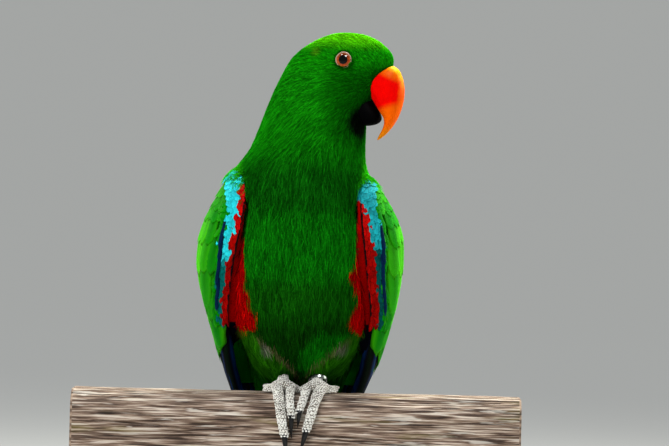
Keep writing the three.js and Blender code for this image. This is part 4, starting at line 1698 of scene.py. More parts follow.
    def _lines(self, blades: Blades, chart: Chart) -> None:
        """The black line down the front edge, which is painted shadow, and the thin dark blue one outside the
        teal.
        """
        slim = BladeShape(blunt=0.7, root=0.7, lift=0.3, crown=0.2, tilt=0.0, sink=0.0, root_shade=0.9)
        edges = MARKINGS.BLUE_ENDS[self.side]
        shares = np.linspace(0.0, 0.5, 60)
        # The black line is painted shadow in the gap at the wing's front edge.
        for colour, highest, offset, width, raised in (
            (MARKINGS.NIGHT, 112.0, None, 1.9, 0.7),
            (MARKINGS.BLUE, 98.0, 0.4, 2.1, 1.1),
        ):
            for height in np.arange(highest, 50.0, -8.0):
                low = np.full(len(shares), height - 6.0)
                shown = np.abs(chart.at(shares, low)[0][:, 0])
                wanted = 0.0 if offset is None else along_table(height - 6.0, edges) + offset
                share = np.interp(wanted, np.maximum.accumulate(shown - shown[0]), shares)
                rows = [np.array([value]) for value in (share, height, 15.0, width)]
                blades.lay(*rows, np.array([colour]), slim, 0.0, raised)


@dataclass
class Tail:
    """Twelve tail feathers in a shallow fan, green above and dark below with a pale end band."""

    feathers: int = 12
    rows: int = 50
    columns: int = 40
    end: float = 14.0

    def chart(self) -> Chart:
        """Reads the tail's back surface from its node."""
        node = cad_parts["tail"]
        tree = search_tree([node.data])
        corners = bird_mm(vertex_places(node.data))
        heights = np.linspace(corners[:, 2].max() - 1, corners[:, 2].min() + self.end, self.rows)
        found = []
        for height in heights:
            hits = []
            for x in np.linspace(-32, 32, 129):
                hit = tree.ray_cast(metres([x, 150.0, height]).tolist(), (0, -1, 0), 0.2)
                if hit[0] is not None:
                    hits.append(bird_mm(np.array(hit[0][:])))
            line = np.array(hits)
            wanted = np.linspace(line[0, 0], line[-1, 0], self.columns)
            found.append(along_line(wanted, line[:, 0], line))
        chart = Chart(np.array(found), heights)
        if chart.normals[..., 1].mean() < 0:
            chart.normals = -chart.normals
        return chart

    def build(self) -> Object:
        """Lays the feathers from the outer pair in, so that the middle pair lies on top."""
        chart = self.chart()
        blades = Blades(chart, BladeShape(across=9, along=16), 500)
        half = self.feathers // 2
        rank = np.repeat(np.arange(half), 2)
        sign = np.tile([-1.0, 1.0], half)
        share = 0.5 + sign * (half - rank - 0.6) / (2 * half + 0.3)
        start = np.full(self.feathers, -16.0)
        tips = -104 + 1.2 * (half - 1 - rank)
        green = np.tile(srgb(16, 96, 34), (self.feathers, 1))
        green = blend(green, srgb(10, 60, 110), (half - rank - 1) / half)
        rim = np.tile(srgb(130, 140, 60), (self.feathers, 1))
        shape = BladeShape(blunt=0.86, root=0.6, lift=0.2, crown=0.5, thick=0.5, sink=1.6, tilt=0.0)
        width = np.full(self.feathers, 17.0)
        blades.lay(share, start, start, width, green, shape, 0.0, rank * 0.28, rim, start - tips)
        return blades.piece("tail_feathers", "tail_feathers", ("tail",))


# Head pieces


@dataclass
class Bill:
    """The hooked upper bill, red to orange with a yellow ridge and tip, over a black lower one."""

    voxel: float = 0.42
    passes: int = 40
    refill: float = 0.2
    lower_refill: float = 0.5
    lower_shift: tuple[float, float, float] = (-0.9, 0.35, 1.5)
    hook: tuple[float, float, float] = (-0.9, 0.3, -1.3)
    ridge: tuple[tuple[float, float], ...] = (
        (-46, 16.4), (-41, 22.6), (-35, 26.6), (-28, 29.4), (-21, 30.8), (-13, 30.6), (-8, 28.6), (-3, 25.1)
    )
    red: Colour = srgb(252, 4, 1)
    orange: Colour = srgb(255, 100, 3)
    yellow: Colour = srgb(255, 196, 14)
    tip: Colour = srgb(236, 150, 16)
    black: Colour = srgb(4, 4, 5)

    def upper_tint(self, places: Array) -> Array:
        """Colour of the upper bill: red in its rear middle, yellow along the ridge that is partly painted
        highlight, orange below.
        """
        head = HEAD.local(places)
        up = head[:, 2]
        ridge = along_table(up, self.ridge)
        inward = ridge - head[:, 0] + 0.8 * (value_noise(places, 3.0, 3) - 0.5)
        slant = up + 0.45 * (head[:, 0] - 19)
        red = smooth_step(-6.0, -10.0, slant) * smooth_step(-32.5, -27.5, up - 0.35 * (head[:, 0] - 16))
        red = red * smooth_step(-0.2, 1.7, inward)
        colour = blend(np.tile(self.orange, (len(places), 1)), self.red, red)
        colour = blend(colour, self.yellow, smooth_step(-7.5, -3.5, slant - 2.0) * 0.95)
        # Yellow along the upper ridge: partly the bill's yellow, partly painted highlight.
        colour = blend(colour, self.yellow, smooth_step(1.0, 0.1, inward) * smooth_step(-18, -11, up) * 0.6)
        return blend(colour, self.tip, smooth_step(-36, -45, up) * 0.7)

    def build(self) -> None:
        """Makes both halves."""
        shine = HornFinish("bill_horn", gloss=0.008, coat=0.0, glow=0.08).material()
        dark = HornFinish("bill_dark_horn", roughness=0.6, gloss=0.006, coat=0.0).material()
        for node, material in (("bill_upper", shine), ("bill_lower", dark)):
            mesh = remeshed(merged_form([node]), self.voxel * MM, self.passes)
            swell = self.refill if node == "bill_upper" else self.lower_refill
            places = bird_mm(vertex_places(mesh)) + vertex_normals(mesh) * swell
            if node == "bill_upper":
                places = places + smooth_step(-36, -46, HEAD.local(places)[:, 2])[:, None] * self.hook
            else:
                places = places + self.lower_shift
            set_places(mesh, metres(places))
            black = np.tile(self.black, (len(places), 1))
            paint(mesh, self.upper_tint(places) if node == "bill_upper" else black)
            mesh.name = node + "_horn"
            adopt(dress(object_of(mesh.name, mesh), material), (node,))


class Growth:
    """A geometry tree that sets small grains on a surface."""

    def __init__(self, name: str) -> None:
        """Starts the tree with a mesh input and output."""
        self.tree = bpy.data.node_groups.new(name, "GeometryNodeTree")
        self.tree.interface.new_socket("Geometry", in_out="OUTPUT", socket_type="NodeSocketGeometry")
        self.tree.interface.new_socket("Surface", in_out="INPUT", socket_type="NodeSocketGeometry")
        self.source = self.tree.nodes.new("NodeGroupInput")
        self.sink = self.tree.nodes.new("NodeGroupOutput")

    def size(self, name: str) -> str:
        """Adds a named size input and returns its identifier."""
        made = self.tree.interface.new_socket(name, in_out="INPUT", socket_type="NodeSocketFloat")
        return made.identifier

    def node(self, kind: str, settings: dict[str, Any], inputs: dict[str, Any]) -> bpy.types.NodeSocket:
        """Adds a node, with values or output sockets for its inputs, and gives its first open output."""
        made = self.tree.nodes.new(kind)
        for key, value in settings.items():
            setattr(made, key, value)
        for key, value in inputs.items():
            socket = next(s for s in made.inputs if key in (s.identifier, s.name))
            if isinstance(value, bpy.types.NodeSocket):
                self.tree.links.new(value, socket)
            else:
                socket.default_value = value
        return next(socket for socket in made.outputs if socket.enabled)


@dataclass
class Grains:
    """Small flattened scales scattered on a surface by a geometry tree."""

    spacing: float
    radius: float
    material: Material
    seed: int = 3
    flat: float = 0.5
    most: float = 9e6

    def grow(self, name: str, surface: Object) -> Object:
        """Sets scales over a surface.

        Args:
            name: The new piece's name.
            surface: The object that they grow on.

        Returns:
            An object that holds only the scales, as plain mesh.
        """
        growth = Growth(name)
        spacing = growth.size("Spacing")
        radius = growth.size("Radius")
        inputs = {socket.name: socket for socket in growth.source.outputs}
        spots = growth.node(
            "GeometryNodeDistributePointsOnFaces",
            {"distribute_method": "POISSON"},
            {
                "Mesh": inputs["Surface"],
                "Distance Min": inputs["Spacing"],
                "Density Max": self.most,
                "Seed": self.seed,
            },
        )
        ball = growth.node("GeometryNodeMeshIcoSphere", {}, {"Radius": 1.0, "Subdivisions": 1})
        flat = growth.node("GeometryNodeTransform", {}, {"Geometry": ball, "Scale": (1.0, 1.0, self.flat)})
        sizes = {"Min_001": 0.78, "Max_001": 1.2, "Seed": self.seed}
        luck = growth.node("FunctionNodeRandomValue", {"data_type": "FLOAT"}, sizes)
        scale = {"Value": inputs["Radius"], "Value_001": luck}
        placing = {
            "Points": spots,
            "Instance": flat,
            "Rotation": spots.node.outputs["Rotation"],
            "Scale": growth.node("ShaderNodeMath", {"operation": "MULTIPLY"}, scale),
        }
        placed = growth.node("GeometryNodeInstanceOnPoints", {}, placing)
        real = growth.node("GeometryNodeRealizeInstances", {}, {"Geometry": placed})
        smooth = growth.node("GeometryNodeSetShadeSmooth", {}, {"Geometry": real})
        dressed = growth.node("GeometryNodeSetMaterial", {}, {"Geometry": smooth, "Material": self.material})
        growth.tree.links.new(dressed, growth.sink.inputs["Geometry"])
        holder = object_of(name + "_holder", surface.data.copy())
        modifier = holder.modifiers.new("grains", "NODES")
        modifier.node_group = growth.tree
        modifier[spacing] = self.spacing * MM
        modifier[radius] = self.radius * MM
        mesh = applied(holder)
        mesh.name = name
        return object_of(name, mesh)


@dataclass
class Eye:
    """An eyeball with its iris and pupil, in a thin beaded lid ring."""

    side: Side
    forward_look: float = 0.22
    iris: float = 47.0
    pupil: float = 27.0
    lid_angle: float = 50.0
    lid_radius: float = 0.28

    def build(self) -> None:
        """Makes the ball and the lid."""
        node = "eye_" + self.side.word
        low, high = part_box(node)
        radius = (high.z - low.z) / 2 / MM
        centre = HEAD.eyes[self.side]
        outward = HEAD.right * (1 if self.side is Side.RIGHT else -1)
        axis = unit(outward + self.forward_look * HEAD.forward + 0.05 * HEAD.up)
        side = unit(np.cross(axis, HEAD.up))
        up = np.cross(side, axis)
        basis = np.stack([side, up, axis])
        self._ball(node, centre, basis, radius)
        self._lid(node, centre, basis, radius)

    def _ball(self, node: str, centre: Array, basis: Array, radius: float) -> None:
        """The eyeball, painted with its iris and pupil, a little fuller in front."""
        steps = 72
        angles = np.radians(np.concatenate([np.linspace(0.8, 60, 60), np.linspace(66, 179, 20)]))
        swell = 1 + 0.035 * np.exp(-((np.degrees(angles) / 34) ** 4))
        local = turned(radius * swell * np.sin(angles), radius * swell * np.cos(angles), steps)
        degrees = np.repeat(np.degrees(angles), steps)
        turns = np.tile(circle(steps), len(angles))
        spokes = 0.5 + 0.5 * np.sin(turns * 23 + 3 * np.sin(turns * 7))
        tint = np.tile(srgb(176, 70, 22), (len(degrees), 1)) * (0.7 + 0.5 * spokes)[:, None]
        # The iris is darker at its top: painted shadow of the upper lid.
        tint = tint * (1 - 0.6 * smooth_step(0.2, 0.9, np.sin(turns)))[:, None]
        tint = blend(tint, srgb(206, 112, 56), smooth_step(36, 42, degrees) * 0.7)
        tint = blend(tint, srgb(60, 24, 12), smooth_step(self.iris - 3, self.iris, degrees))
        tint = blend(tint, srgb(2, 2, 2), smooth_step(self.pupil + 1.5, self.pupil - 1.5, degrees))
        faces = loft_faces(len(angles), steps, flipped=True)
        piece = shell_object(node + "_ball", metres(centre + local @ basis), faces, tint)
        adopt(dress(piece, EyeFinish().material()), (node,))

    def _lid(self, node: str, centre: Array, basis: Array, radius: float) -> None:
        """The pale bare ring round the eye, with small beads on it."""
        steps, section = 96, 12
        turns, rounds = circle(steps), circle(section)
        away = math.radians(self.lid_angle)
        ring = radius * math.sin(away) + self.lid_radius * np.cos(rounds) * 0.9
        rise = radius * math.cos(away) + self.lid_radius * np.sin(rounds) * 0.9 + 0.12
        wave = 1 + 0.03 * np.cos(2 * turns)
        flat = [np.outer(wave * np.cos(turns), ring), np.outer(np.sin(turns) / wave, ring)]
        local = np.stack([*flat, np.outer(np.ones(steps), rise)], axis=-1).reshape(-1, 3)
        skin = ScaleFinish("lid_skin", srgb(222, 190, 168), srgb(140, 98, 74)).material()
        faces = loft_faces(steps, section, closed=True, flipped=True)
        lid = shell_object(node + "_lid", metres(centre + local @ basis), faces)
        adopt(dress(lid, skin))
        adopt(Grains(0.3, 0.13, skin, 5, 0.7).grow(node + "_lid_beads", lid))


# Feet


def tube(centres: Array, radii: Array, across: Array, lift: Array, sides: int = 16) -> Form:
    """A closed tube with a shrinking ring at each end.

    Args:
        centres: The middle line.
        radii: The radius at each centre.
        across: Unit vectors to the tube's side at each centre.
        lift: Unit vectors out of the tube's back at each centre.
        sides: Corners of its section.

    Returns:
        Points and faces for mesh_object.
    """
    turn = circle(sides)
    ring = across[:, None] * np.cos(turn)[:, None] + lift[:, None] * np.sin(turn)[:, None]
    points = centres[:, None] + ring * radii[:, None, None]
    return points.reshape(-1, 3), loft_faces(len(centres), sides)


class RailWay:
    """Places told by how far round the rail they lie, their x, and their height off the wood."""

    def __init__(self) -> None:
        """Reads the rail's section."""
        self.loop = Perch(around=900).section() + (bird_mm(PERCH_LOW) + bird_mm(PERCH_HIGH))[1:] / 2
        self.outward, self.reach = loop_facts(self.loop)

    def measure(self, places: Array) -> Array:
        """Distance round, x and height of bird places."""
        gaps = places[:, None, 1:] - self.loop
        nearest = np.linalg.norm(gaps, axis=2).argmin(axis=1)
        rows = np.arange(len(places))
        height = np.sum(gaps[rows, nearest] * self.outward[nearest], axis=1)
        return np.stack([self.reach[nearest], places[:, 0], height], axis=1)

    def place(self, way: Array) -> tuple[Array, Array]:
        """Bird places, and the way off the wood there, of distances round, x and heights."""
        foot = along_line(way[:, 0], self.reach, self.loop)
        off = unit(along_line(way[:, 0], self.reach, self.outward))
        off = np.concatenate([np.zeros((len(way), 1)), off], axis=1)
        flat = np.concatenate([way[:, 1:2], foot], axis=1)
        return flat + off * way[:, 2:], off


@dataclass
class Digit:
    """One toe and its claw, along the way that their nodes take over the rail."""

    toe: str
    claw: str
    rail: RailWay
    steps: int = 44
    joints: float = 3.0
    swell: float = 0.05
    bulb: float = 0.04
    past: float = 1.9
    hump: float = 1.5
    claw_root: float = 0.74
    press: float = 0.94

    # The toe's radius at its root and end, and how far its line moves there, towards +X.
    RADII = {
        "outer_front": (3.4, 2.55),
        "inner_front": (2.75, 2.2),
        "outer_back": (2.7, 1.7),
        "inner_back": (2.3, 1.6),
    }
    SHIFTS = {
        "outer_front_right": (-1.9, 0.0),
        "inner_front_right": (1.3, 0.8),
        "outer_front_left": (2.3, 0.1),
        "inner_front_left": (-1.3, -1.8),
    }

    def __post_init__(self) -> None:
        """Measures both nodes along the rail."""
        toe = self.rail.measure(bird_mm(vertex_places(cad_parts[self.toe].data)))
        claw = self.rail.measure(bird_mm(vertex_places(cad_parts[self.claw].data)))
        self.onward = 1.0 if claw[:, 0].mean() > toe[:, 0].mean() else -1.0
        self.x_fit = np.polyfit(toe[:, 0], toe[:, 1], 2)
        ordered = np.sort(toe[:, 0] * self.onward)
        self.start, self.end = ordered[0], ordered[-1]
        tip = claw[(claw[:, 0] * self.onward).argmax()]
        self.tip = tip[0] * self.onward, tip[1]
        spot = self.toe.removeprefix("toe_")
        self.ends = self.RADII[spot.rpartition("_")[0]]
        self.shift = self.SHIFTS.get(spot, (0.0, 0.0))

    def radius(self, way: Array) -> Array:
        """The toe's radius at distances along it."""
        return np.interp(way, [self.start, self.end], self.ends)

    def x(self, way: Array) -> Array:
        """The middle line's x at distances along the toe."""
        shift = np.interp(way, [self.start, self.end], self.shift)
        return np.polyval(self.x_fit, way * self.onward) + shift

    def toe_form(self) -> Form:
        """The toe: swollen at its joints, with a rounded pad at its end."""
        way = np.linspace(self.start, self.end + self.past, self.steps)
        share = np.linspace(0, 1, self.steps)
        knuckles = 1 + self.swell * np.cos(2 * math.pi * self.joints * share)
        radii = self.radius(np.minimum(way, self.end)) * knuckles
        pad = np.exp(-(((way - self.end + 1.6) / 2.4) ** 2))
        radii = radii * (1 + self.bulb * pad)
        last = np.clip((way - self.end + 1.6) / (1.6 + self.past), 0, 0.98)
        radii = radii * np.sqrt(1 - last**2.4)
        high = np.maximum(radii * self.press, 0.8)
        return self._sweep(np.stack([way * self.onward, self.x(way), high], axis=1), radii)

    def claw_form(self) -> Form:
        """The claw: a curved horn that starts inside the toe's pad and thins to a point on the wood."""
        share = np.linspace(0, 1, 26)
        root_way = self.end - 0.6
        way = root_way + (self.tip[0] - root_way) * share
        root_x = self.x(np.array([root_way]))[0]
        x = root_x + (self.tip[1] - root_x) * share
        root = self.radius(np.array([self.end]))[0]
        radii = root * self.claw_root * (1 - share**1.35) * (1 - 0.12 * share) + 0.14
        high = root * 1.05 + (0.35 - root * 1.05) * share**1.8 + self.hump * np.sin(math.pi * share**0.8)
        return self._sweep(np.stack([way * self.onward, x, high], axis=1), radii)

    def _sweep(self, line: Array, radii: Array) -> Form:
        """A tube along a line of rail measures, in metres."""
        centres, off = self.rail.place(line)
        along = unit(np.gradient(centres, axis=0))
        across = unit(np.cross(along, off))
        points, faces = tube(centres, radii, across, np.cross(across, along))
        return metres(points), faces

    def scutes(self) -> Array:
        """Middles, backs and along-ways of the plates over the toe's end, as rows of nine numbers."""
        rows = []
        for step, back in enumerate((-0.9, 0.6, 2.2, 3.8, 5.4, 7.0, 8.6, 10.2)):
            for turn in (-1.1, -0.37, 0.37, 1.1) if step % 2 else (-0.74, 0.0, 0.74):
                way = np.array([self.end - back])
                radius = self.radius(way) * (1 + self.bulb * np.exp(-(((1.6 - back) / 2.4) ** 2)))
                line = np.stack([way * self.onward, self.x(way), radius * self.press], axis=1)
                centre, off = self.rail.place(line)
                onward, _ = self.rail.place(line + [[0.5 * self.onward, 0, 0]])
                along = unit(onward - centre)
                across = unit(np.cross(along, off))
                out = off * math.cos(turn) + across * math.sin(turn)
                rows.append(np.concatenate([centre + out * radius, out, along], axis=1)[0])
        return np.array(rows)


@dataclass
class Foot:
    """One foot: bare scaly skin over the shank and toes, pebbles and plates on it, and black claws."""

    side: Side
    voxel: float = 0.42
    passes: int = 6
    spacing: float = 1.06
    radius: float = 0.585
    mound: tuple[tuple[float, float], ...] = (
        (0.05, 8.0), (2.4, 7.6), (4.8, 6.3), (7.4, 4.6), (9.8, 3.3), (11.6, 1.9), (12.4, 0.2), (0.05, 0.2)
    )
    mound_depth: float = 0.62
    forward: float = 0.5
    skin_depth: float = 0.15
    plate: tuple[float, float, float] = (0.78, 0.68, 0.36)

    def nodes(self, kind: str) -> tuple[str, ...]:
        """The toe or claw nodes of this foot."""
        return tuple(f"{kind}_{place}_{self.side.word}" for place in Digit.RADII)

    def build(self, rail: RailWay) -> None:
        """Makes the foot's skin, scales and claws."""
        word = self.side.word
        bare = ("shank_" + word, *self.nodes("toe"))
        digits = [Digit(toe, claw, rail) for toe, claw in zip(self.nodes("toe"), self.nodes("claw"))]
        form = merged_form([bare[0]])
        middle = bird_mm(box_middle(bare[0]))
        profile = [(radius * MM, height * MM) for radius, height in self.mound]
        points, faces = lathe(profile, 32, np.zeros(3), False)
        points = points * [1, self.mound_depth, 1] + metres([middle[0], middle[1] - self.forward, 0])
        for points, faces in [(points, faces), *(digit.toe_form() for digit in digits)]:
            part = mesh_object("part", points, faces)
            form.from_mesh(part.data)
            bpy.data.objects.remove(part)
        bmesh.ops.recalc_face_normals(form, faces=form.faces)
        mesh = remeshed(form, self.voxel * MM, self.passes)
        set_places(mesh, vertex_places(mesh) - vertex_normals(mesh) * self.skin_depth * MM)
        mesh.name = "foot_skin_" + word
        # The skin between the scales is darker than the scales.
        groove = ScaleFinish("foot_grooves", srgb(158, 150, 138), srgb(78, 72, 64)).material()
        skin = adopt(dress(object_of(mesh.name, mesh), groove), bare)
        pebble = ScaleFinish("foot_scales", srgb(255, 255, 250), srgb(236, 231, 222)).material()
        scales = Grains(self.spacing, self.radius, pebble, 7, 0.42)
        adopt(scales.grow("foot_scales_" + word, skin))
        adopt(dress(self._plates(digits, "foot_plates_" + word), pebble))
        horn = HornFinish("claw_black_horn", roughness=0.3, gloss=0.22, coat=0.16).material()
        for digit in digits:
            points, faces = digit.claw_form()
            tint = np.tile(srgb(14, 14, 16), (len(points), 1))
            claw = shell_object(digit.claw + "_horn", points, faces, tint)
            adopt(dress(claw, horn), (digit.claw,))

    def _plates(self, digits: list[Digit], name: str) -> Object:
        """The larger plates over the toes' ends, as flattened balls."""
        ball = bmesh.new()
        bmesh.ops.create_icosphere(ball, subdivisions=2, radius=1.0)
        ball.verts.ensure_lookup_table()
        shape = np.array([vertex.co[:] for vertex in ball.verts])
        corners = np.array([[vertex.index for vertex in face.verts] for face in ball.faces])
        ball.free()
        rows = np.concatenate([digit.scutes() for digit in digits])
        out, along = rows[:, None, 3:6], rows[:, None, 6:9]
        x, y, z = (shape * np.array(self.plate)).T[..., None]
        points = rows[:, None, :3] + (np.cross(along, out) * x + along * y + out * z)
        faces = (np.arange(len(rows))[:, None, None] * len(shape) + corners[None]).reshape(-1, 3)
        return shell_object(name, metres(points.reshape(-1, 3)), [faces])


@dataclass
class LegRing:
    """The closed metal ring on the left leg."""

    steps: int = 96
    tip: float = -28.0
    wall: float = 0.8
    width: float = 2.2
    edge: float = 0.22
    rise: float = 0.7

    def build(self) -> Object:
        """Turns a band with rounded edges and leans it as the node does."""
        low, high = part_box("leg_ring")
        outer = (high.x - low.x) / 2 / MM
        inner = outer - self.wall
        half = self.width / 2
        profile = []
        for r, h, start in ((outer, half, 0), (inner, half, 90), (inner, -half, 180), (outer, -half, 270)):
            corner_r = r - self.edge if r == outer else r + self.edge
            corner_h = h - math.copysign(self.edge, h)
            for turn in np.radians(np.linspace(start, start + 90, 5)):
                place = (corner_r + self.edge * math.cos(turn), corner_h + self.edge * math.sin(turn))
                profile.append((place[0] * MM, place[1] * MM))
        points, faces = lathe(profile, self.steps, np.zeros(3), True)
        leaning = points @ np.array(Matrix.Rotation(math.radians(self.tip), 3, "X")).T
        leaning = leaning + [0, 0, self.rise * MM]
        piece = shell_object("leg_ring_band", leaning + box_middle("leg_ring"), faces)
        return adopt(dress(piece, MetalFinish().material()), ("leg_ring",))


# Perch and stand


@dataclass
class Perch:
    """The cut length of weathered rail, with worn edges, grain grooves and long cracks."""

    around: int = 500
    stations: int = 150
    top_round: float = 14.0
    foot_round: float = 8.0
    groove: float = 0.5
    crack: float = 1.3
    seed: int = 90

    def section(self) -> Array:
        """Points round the rail's section, as y and z millimetres from its middle."""
        half_y, half_z = (bird_mm(PERCH_HIGH) - bird_mm(PERCH_LOW))[1:] / 2
        corners = ((1, 1, 0), (-1, 1, 90), (-1, -1, 180), (1, -1, 270))
        points = []
        for sign_y, sign_z, start in corners:
            radius = self.top_round if sign_z > 0 else self.foot_round
            middle = np.array([sign_y * (half_y - radius), sign_z * (half_z - radius)])
            turn = np.radians(np.linspace(start, start + 90, 14))
            points.append(middle + radius * np.stack([np.cos(turn), np.sin(turn)], axis=1))
        loop = np.concatenate([*points, points[0][:1]])
        return evened(loop, self.around, endpoint=False)

    def cracks(self, x: Array, arc: Array, total: float) -> Array:
        """Depth of the long cracks at each station and place round the rail."""
        rng = np.random.default_rng(self.seed)
        deep = np.zeros(np.broadcast(x, arc).shape)
        for _ in range(90):
            centre, start, reach = rng.uniform(0, total), rng.uniform(-150, 120), rng.uniform(18, 90)
            wide, depth = rng.uniform(0.25, 0.6), rng.uniform(0.3, 1.0) * self.crack
            line = centre + 1.1 * np.sin(x / 23 + centre) + 0.02 * x
            off = np.abs((arc - line + total / 2) % total - total / 2)
            ends = smooth_step(start, start + 8, x) * smooth_step(start + reach, start + reach - 8, x)
            deep = np.maximum(deep, depth * ends * np.exp(-((off / wide) ** 2)))
        return deep

    def build(self) -> Object:
        """Lofts the rail and closes its cut ends."""
        low, high = bird_mm(PERCH_LOW), bird_mm(PERCH_HIGH)
        middle = (low + high) / 2
        loop = self.section()
        outward, arc = loop_facts(loop)
        half = (high[0] - low[0]) / 2
        inset = np.array([18.0, 10.0, 4.0, 1.4, 0.5, 0.1])
        body = np.linspace(-half + 0.9, half - 0.9, self.stations)
        x = np.concatenate([np.full(6, -half), body, np.full(6, half)])[:, None]
        pull = np.concatenate([inset, np.zeros(self.stations), inset[::-1]])[:, None]
        arc = arc[None]
        samples = np.stack(np.broadcast_arrays(x / 36, arc / 0.9, 0 * arc), axis=-1).reshape(-1, 3)
        ripple = value_noise(samples, 1.0, 4).reshape(len(x), -1)
        coarse = value_noise(samples * [0.4, 0.18, 1], 1.0, 6).reshape(len(x), -1)
        deep = self.groove * ripple + 0.7 * coarse + self.cracks(x, arc, arc[0, -1])
        radial = np.linalg.norm(loop, axis=1)
        scale = 1 - np.minimum(pull / 24.0, 0.97)
        flat = loop[None] * scale[..., None] - outward[None] * (deep * (scale > 0.95))[..., None]
        ring_mark = 0.25 * np.sin(radial[None] * scale * 2.4) * (pull > 0.2)
        points = np.empty((*deep.shape, 3))
        points[..., 0] = x - np.sign(x) * (np.abs(ring_mark) + 0.05)
        points[..., 1:] = flat
        points = points + middle
        faces = loft_faces(*deep.shape, flipped=True)
        # Darker in the grain grooves and cracks: painted shade in the recesses.
        shade = 1 - 0.62 * smooth_step(0.35, 1.1, deep - 0.35)
        # Darker towards the bottom: painted shade on the rail's lower face.
        shade = shade - 0.25 * smooth_step(-20, -66, points[..., 2])
        shade = shade * (1 - 0.3 * (pull > 0.2))
        tint = np.repeat(shade.reshape(-1, 1), 3, axis=1)
        piece = shell_object("perch_rail", metres(points.reshape(-1, 3)), faces, tint)
        return adopt(dress(piece, WoodFinish().material()), ("perch",))


@dataclass
class Stand:
    """The plain base with eased edges and its two collared rods."""

    ease: float = 1.4
    collar: float = 3.2
    collar_height: float = 3.5
    chamfer: float = 0.6

    def build(self) -> None:
        """Makes the base and both rods."""
        form = merged_form(["stand_base"])
        bmesh.ops.dissolve_limit(form, angle_limit=0.02, verts=form.verts, edges=form.edges)
        sharp = [edge for edge in form.edges if edge.calc_face_angle(0) > 0.9]
        bmesh.ops.bevel(form, geom=sharp, offset=self.ease * MM, segments=3, profile=0.5, affect="EDGES")
        mesh = form_mesh(form, "stand_base_board")
        mesh.shade_smooth()
        mesh.set_sharp_from_angle(angle=math.radians(40))
        paint_black = PaintFinish("stand_black_paint", srgb(34, 34, 36)).material()
        adopt(dress(object_of("stand_base_board", mesh), paint_black), ("stand_base",))
        steel = PaintFinish("rod_black_paint", srgb(44, 44, 47), 0.3).material()
        for side in Side:
            self._rod("stand_rod_" + side.word, steel)

    def _rod(self, node: str, material: Material) -> None:
        """One rod with a collar at each end."""
        low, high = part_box(node)
        radius = (high.x - low.x) / 2 / MM
        tall = (high.z - low.z) / MM
        wide, thick = radius + self.collar, self.collar_height
        inner, eased = wide - self.chamfer, thick - self.chamfer
        profile = [(inner, 0), (wide, self.chamfer), (wide, eased), (inner, thick), (radius, thick + 0.4)]
        upper = [(r, tall - h) for r, h in reversed(profile)]
        places = [(r * MM, h * MM) for r, h in profile + upper]
        base = np.array([(low.x + high.x) / 2, (low.y + high.y) / 2, low.z])
        points, faces = lathe(places, 64, base, False)
        piece = shell_object(node + "_collared", points, faces)
        piece.data.set_sharp_from_angle(angle=math.radians(40))
        adopt(dress(piece, material), (node,))


# Studio


@dataclass(frozen=True)
class Lamp:
    """One soft area light."""

    name: str
    place: tuple[float, float, float]
    size: float
    watts: float
    colour: Colour = (1.0, 1.0, 1.0)
    lights_surfaces: bool = True
    shows_in_gloss: bool = True


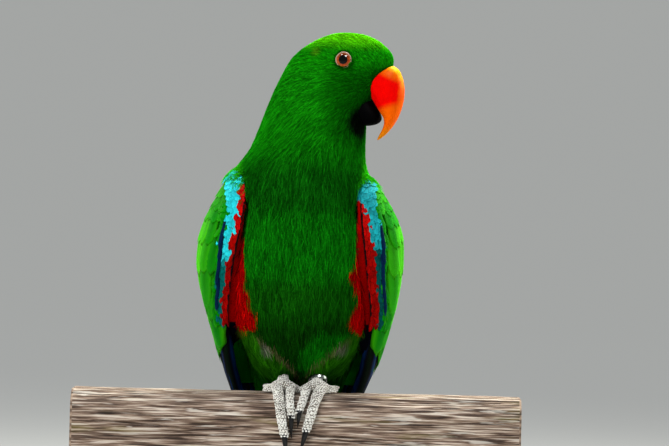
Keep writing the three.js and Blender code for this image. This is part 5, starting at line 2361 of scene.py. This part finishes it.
@dataclass
class Studio:
    """The pale floor with its sweep, soft lights, and the camera of the photo's view."""

    distance: float = 2.2
    frame_width: float = 0.388
    roll: float = 1.456
    aim: tuple[float, float, float] = (19.5, -9.0, 98.8)
    sky: float = 0.36
    lamps: tuple[Lamp, ...] = (
        Lamp("key_above_behind", (0.42, 0.62, 1.35), 0.7, 38.0, (1.0, 0.99, 0.9)),
        Lamp("rim_left_behind", (-0.95, 0.6, 0.75), 0.5, 12.0, (1.0, 1.0, 0.92)),
        Lamp("rim_right_behind", (1.0, 0.5, 0.6), 0.5, 12.0, (1.0, 1.0, 0.92)),
        Lamp("front_soft", (-0.75, -1.6, 0.95), 0.9, 20.5, shows_in_gloss=False),
        Lamp("front_catch", (0.43, -0.68, 1.48), 0.6, 66.0, lights_surfaces=False),
        Lamp("side_catch", (-0.5, -0.12, 1.5), 0.22, 10.0, lights_surfaces=False),
    )

    def build(self) -> None:
        """Makes the sweep, sky, lights and camera."""
        turn = np.linspace(0, math.pi / 2, 12)[1:]
        curve = [(5 + 3 * math.sin(a), 1.6 - 1.6 * math.cos(a)) for a in turn]
        profile = [(0.02, 0.0), (1.5, 0.0), (5.0, 0.0), *curve]
        points, faces = lathe(profile, 96, np.array([0, 0, -0.0005]), False)
        floor = mesh_object("floor_sweep", points, faces[:2])
        dress(floor, BackdropFinish().material())
        world = bpy.data.worlds.new("sky")
        world.use_nodes = True
        glow = world.node_tree.nodes["Background"].inputs
        glow["Color"].default_value = (0.93, 0.97, 1.0, 1.0)
        glow["Strength"].default_value = self.sky
        bpy.context.scene.world = world
        aim = Vector(metres(self.aim).tolist())
        for lamp in self.lamps:
            self._light(lamp, aim)
        self._camera(aim)
        bpy.context.scene.view_settings.view_transform = "Standard"

    def _light(self, lamp: Lamp, aim: Vector) -> None:
        """Adds one area light that faces the bird and isn't seen itself."""
        data = bpy.data.lights.new(lamp.name, "AREA")
        data.size = lamp.size
        data.energy = lamp.watts
        data.color = lamp.colour
        light = bpy.data.objects.new(lamp.name, data)
        light.location = lamp.place
        light.rotation_euler = (aim - Vector(lamp.place)).to_track_quat("-Z", "Y").to_euler()
        light.visible_camera = False
        light.visible_diffuse = lamp.lights_surfaces
        light.visible_glossy = lamp.shows_in_gloss
        bpy.context.scene.collection.objects.link(light)

    def _camera(self, aim: Vector) -> None:
        """Adds the camera, level with the bird and rolled so that the level rail slopes as photographed."""
        data = bpy.data.cameras.new("camera")
        data.sensor_width = 36
        data.lens = data.sensor_width * self.distance / self.frame_width
        camera = bpy.data.objects.new("camera", data)
        tilt = math.radians(self.roll)
        right = Vector((math.cos(tilt), 0, math.sin(tilt)))
        up = Vector((-math.sin(tilt), 0, math.cos(tilt)))
        back = Vector((0, -1, 0))
        turn = Matrix((right, up, back)).transposed()
        camera.matrix_world = Matrix.Translation(aim + back * self.distance) @ turn.to_4x4()
        bpy.context.scene.collection.objects.link(camera)
        bpy.context.scene.camera = camera


def main() -> None:
    """Builds every piece in order."""
    logging.basicConfig(level=logging.INFO, format="%(message)s")
    Studio().build()
    skin = Skin()
    body = skin.build(FleshMap())
    Coat().build(skin, body)
    rail = RailWay()
    for side in Side:
        Wing(side).build()
        Eye(side).build()
        Foot(side).build(rail)
    Tail().build()
    Bill().build()
    LegRing().build()
    Perch().build()
    Stand().build()


if __name__ == "__main__":
    main()
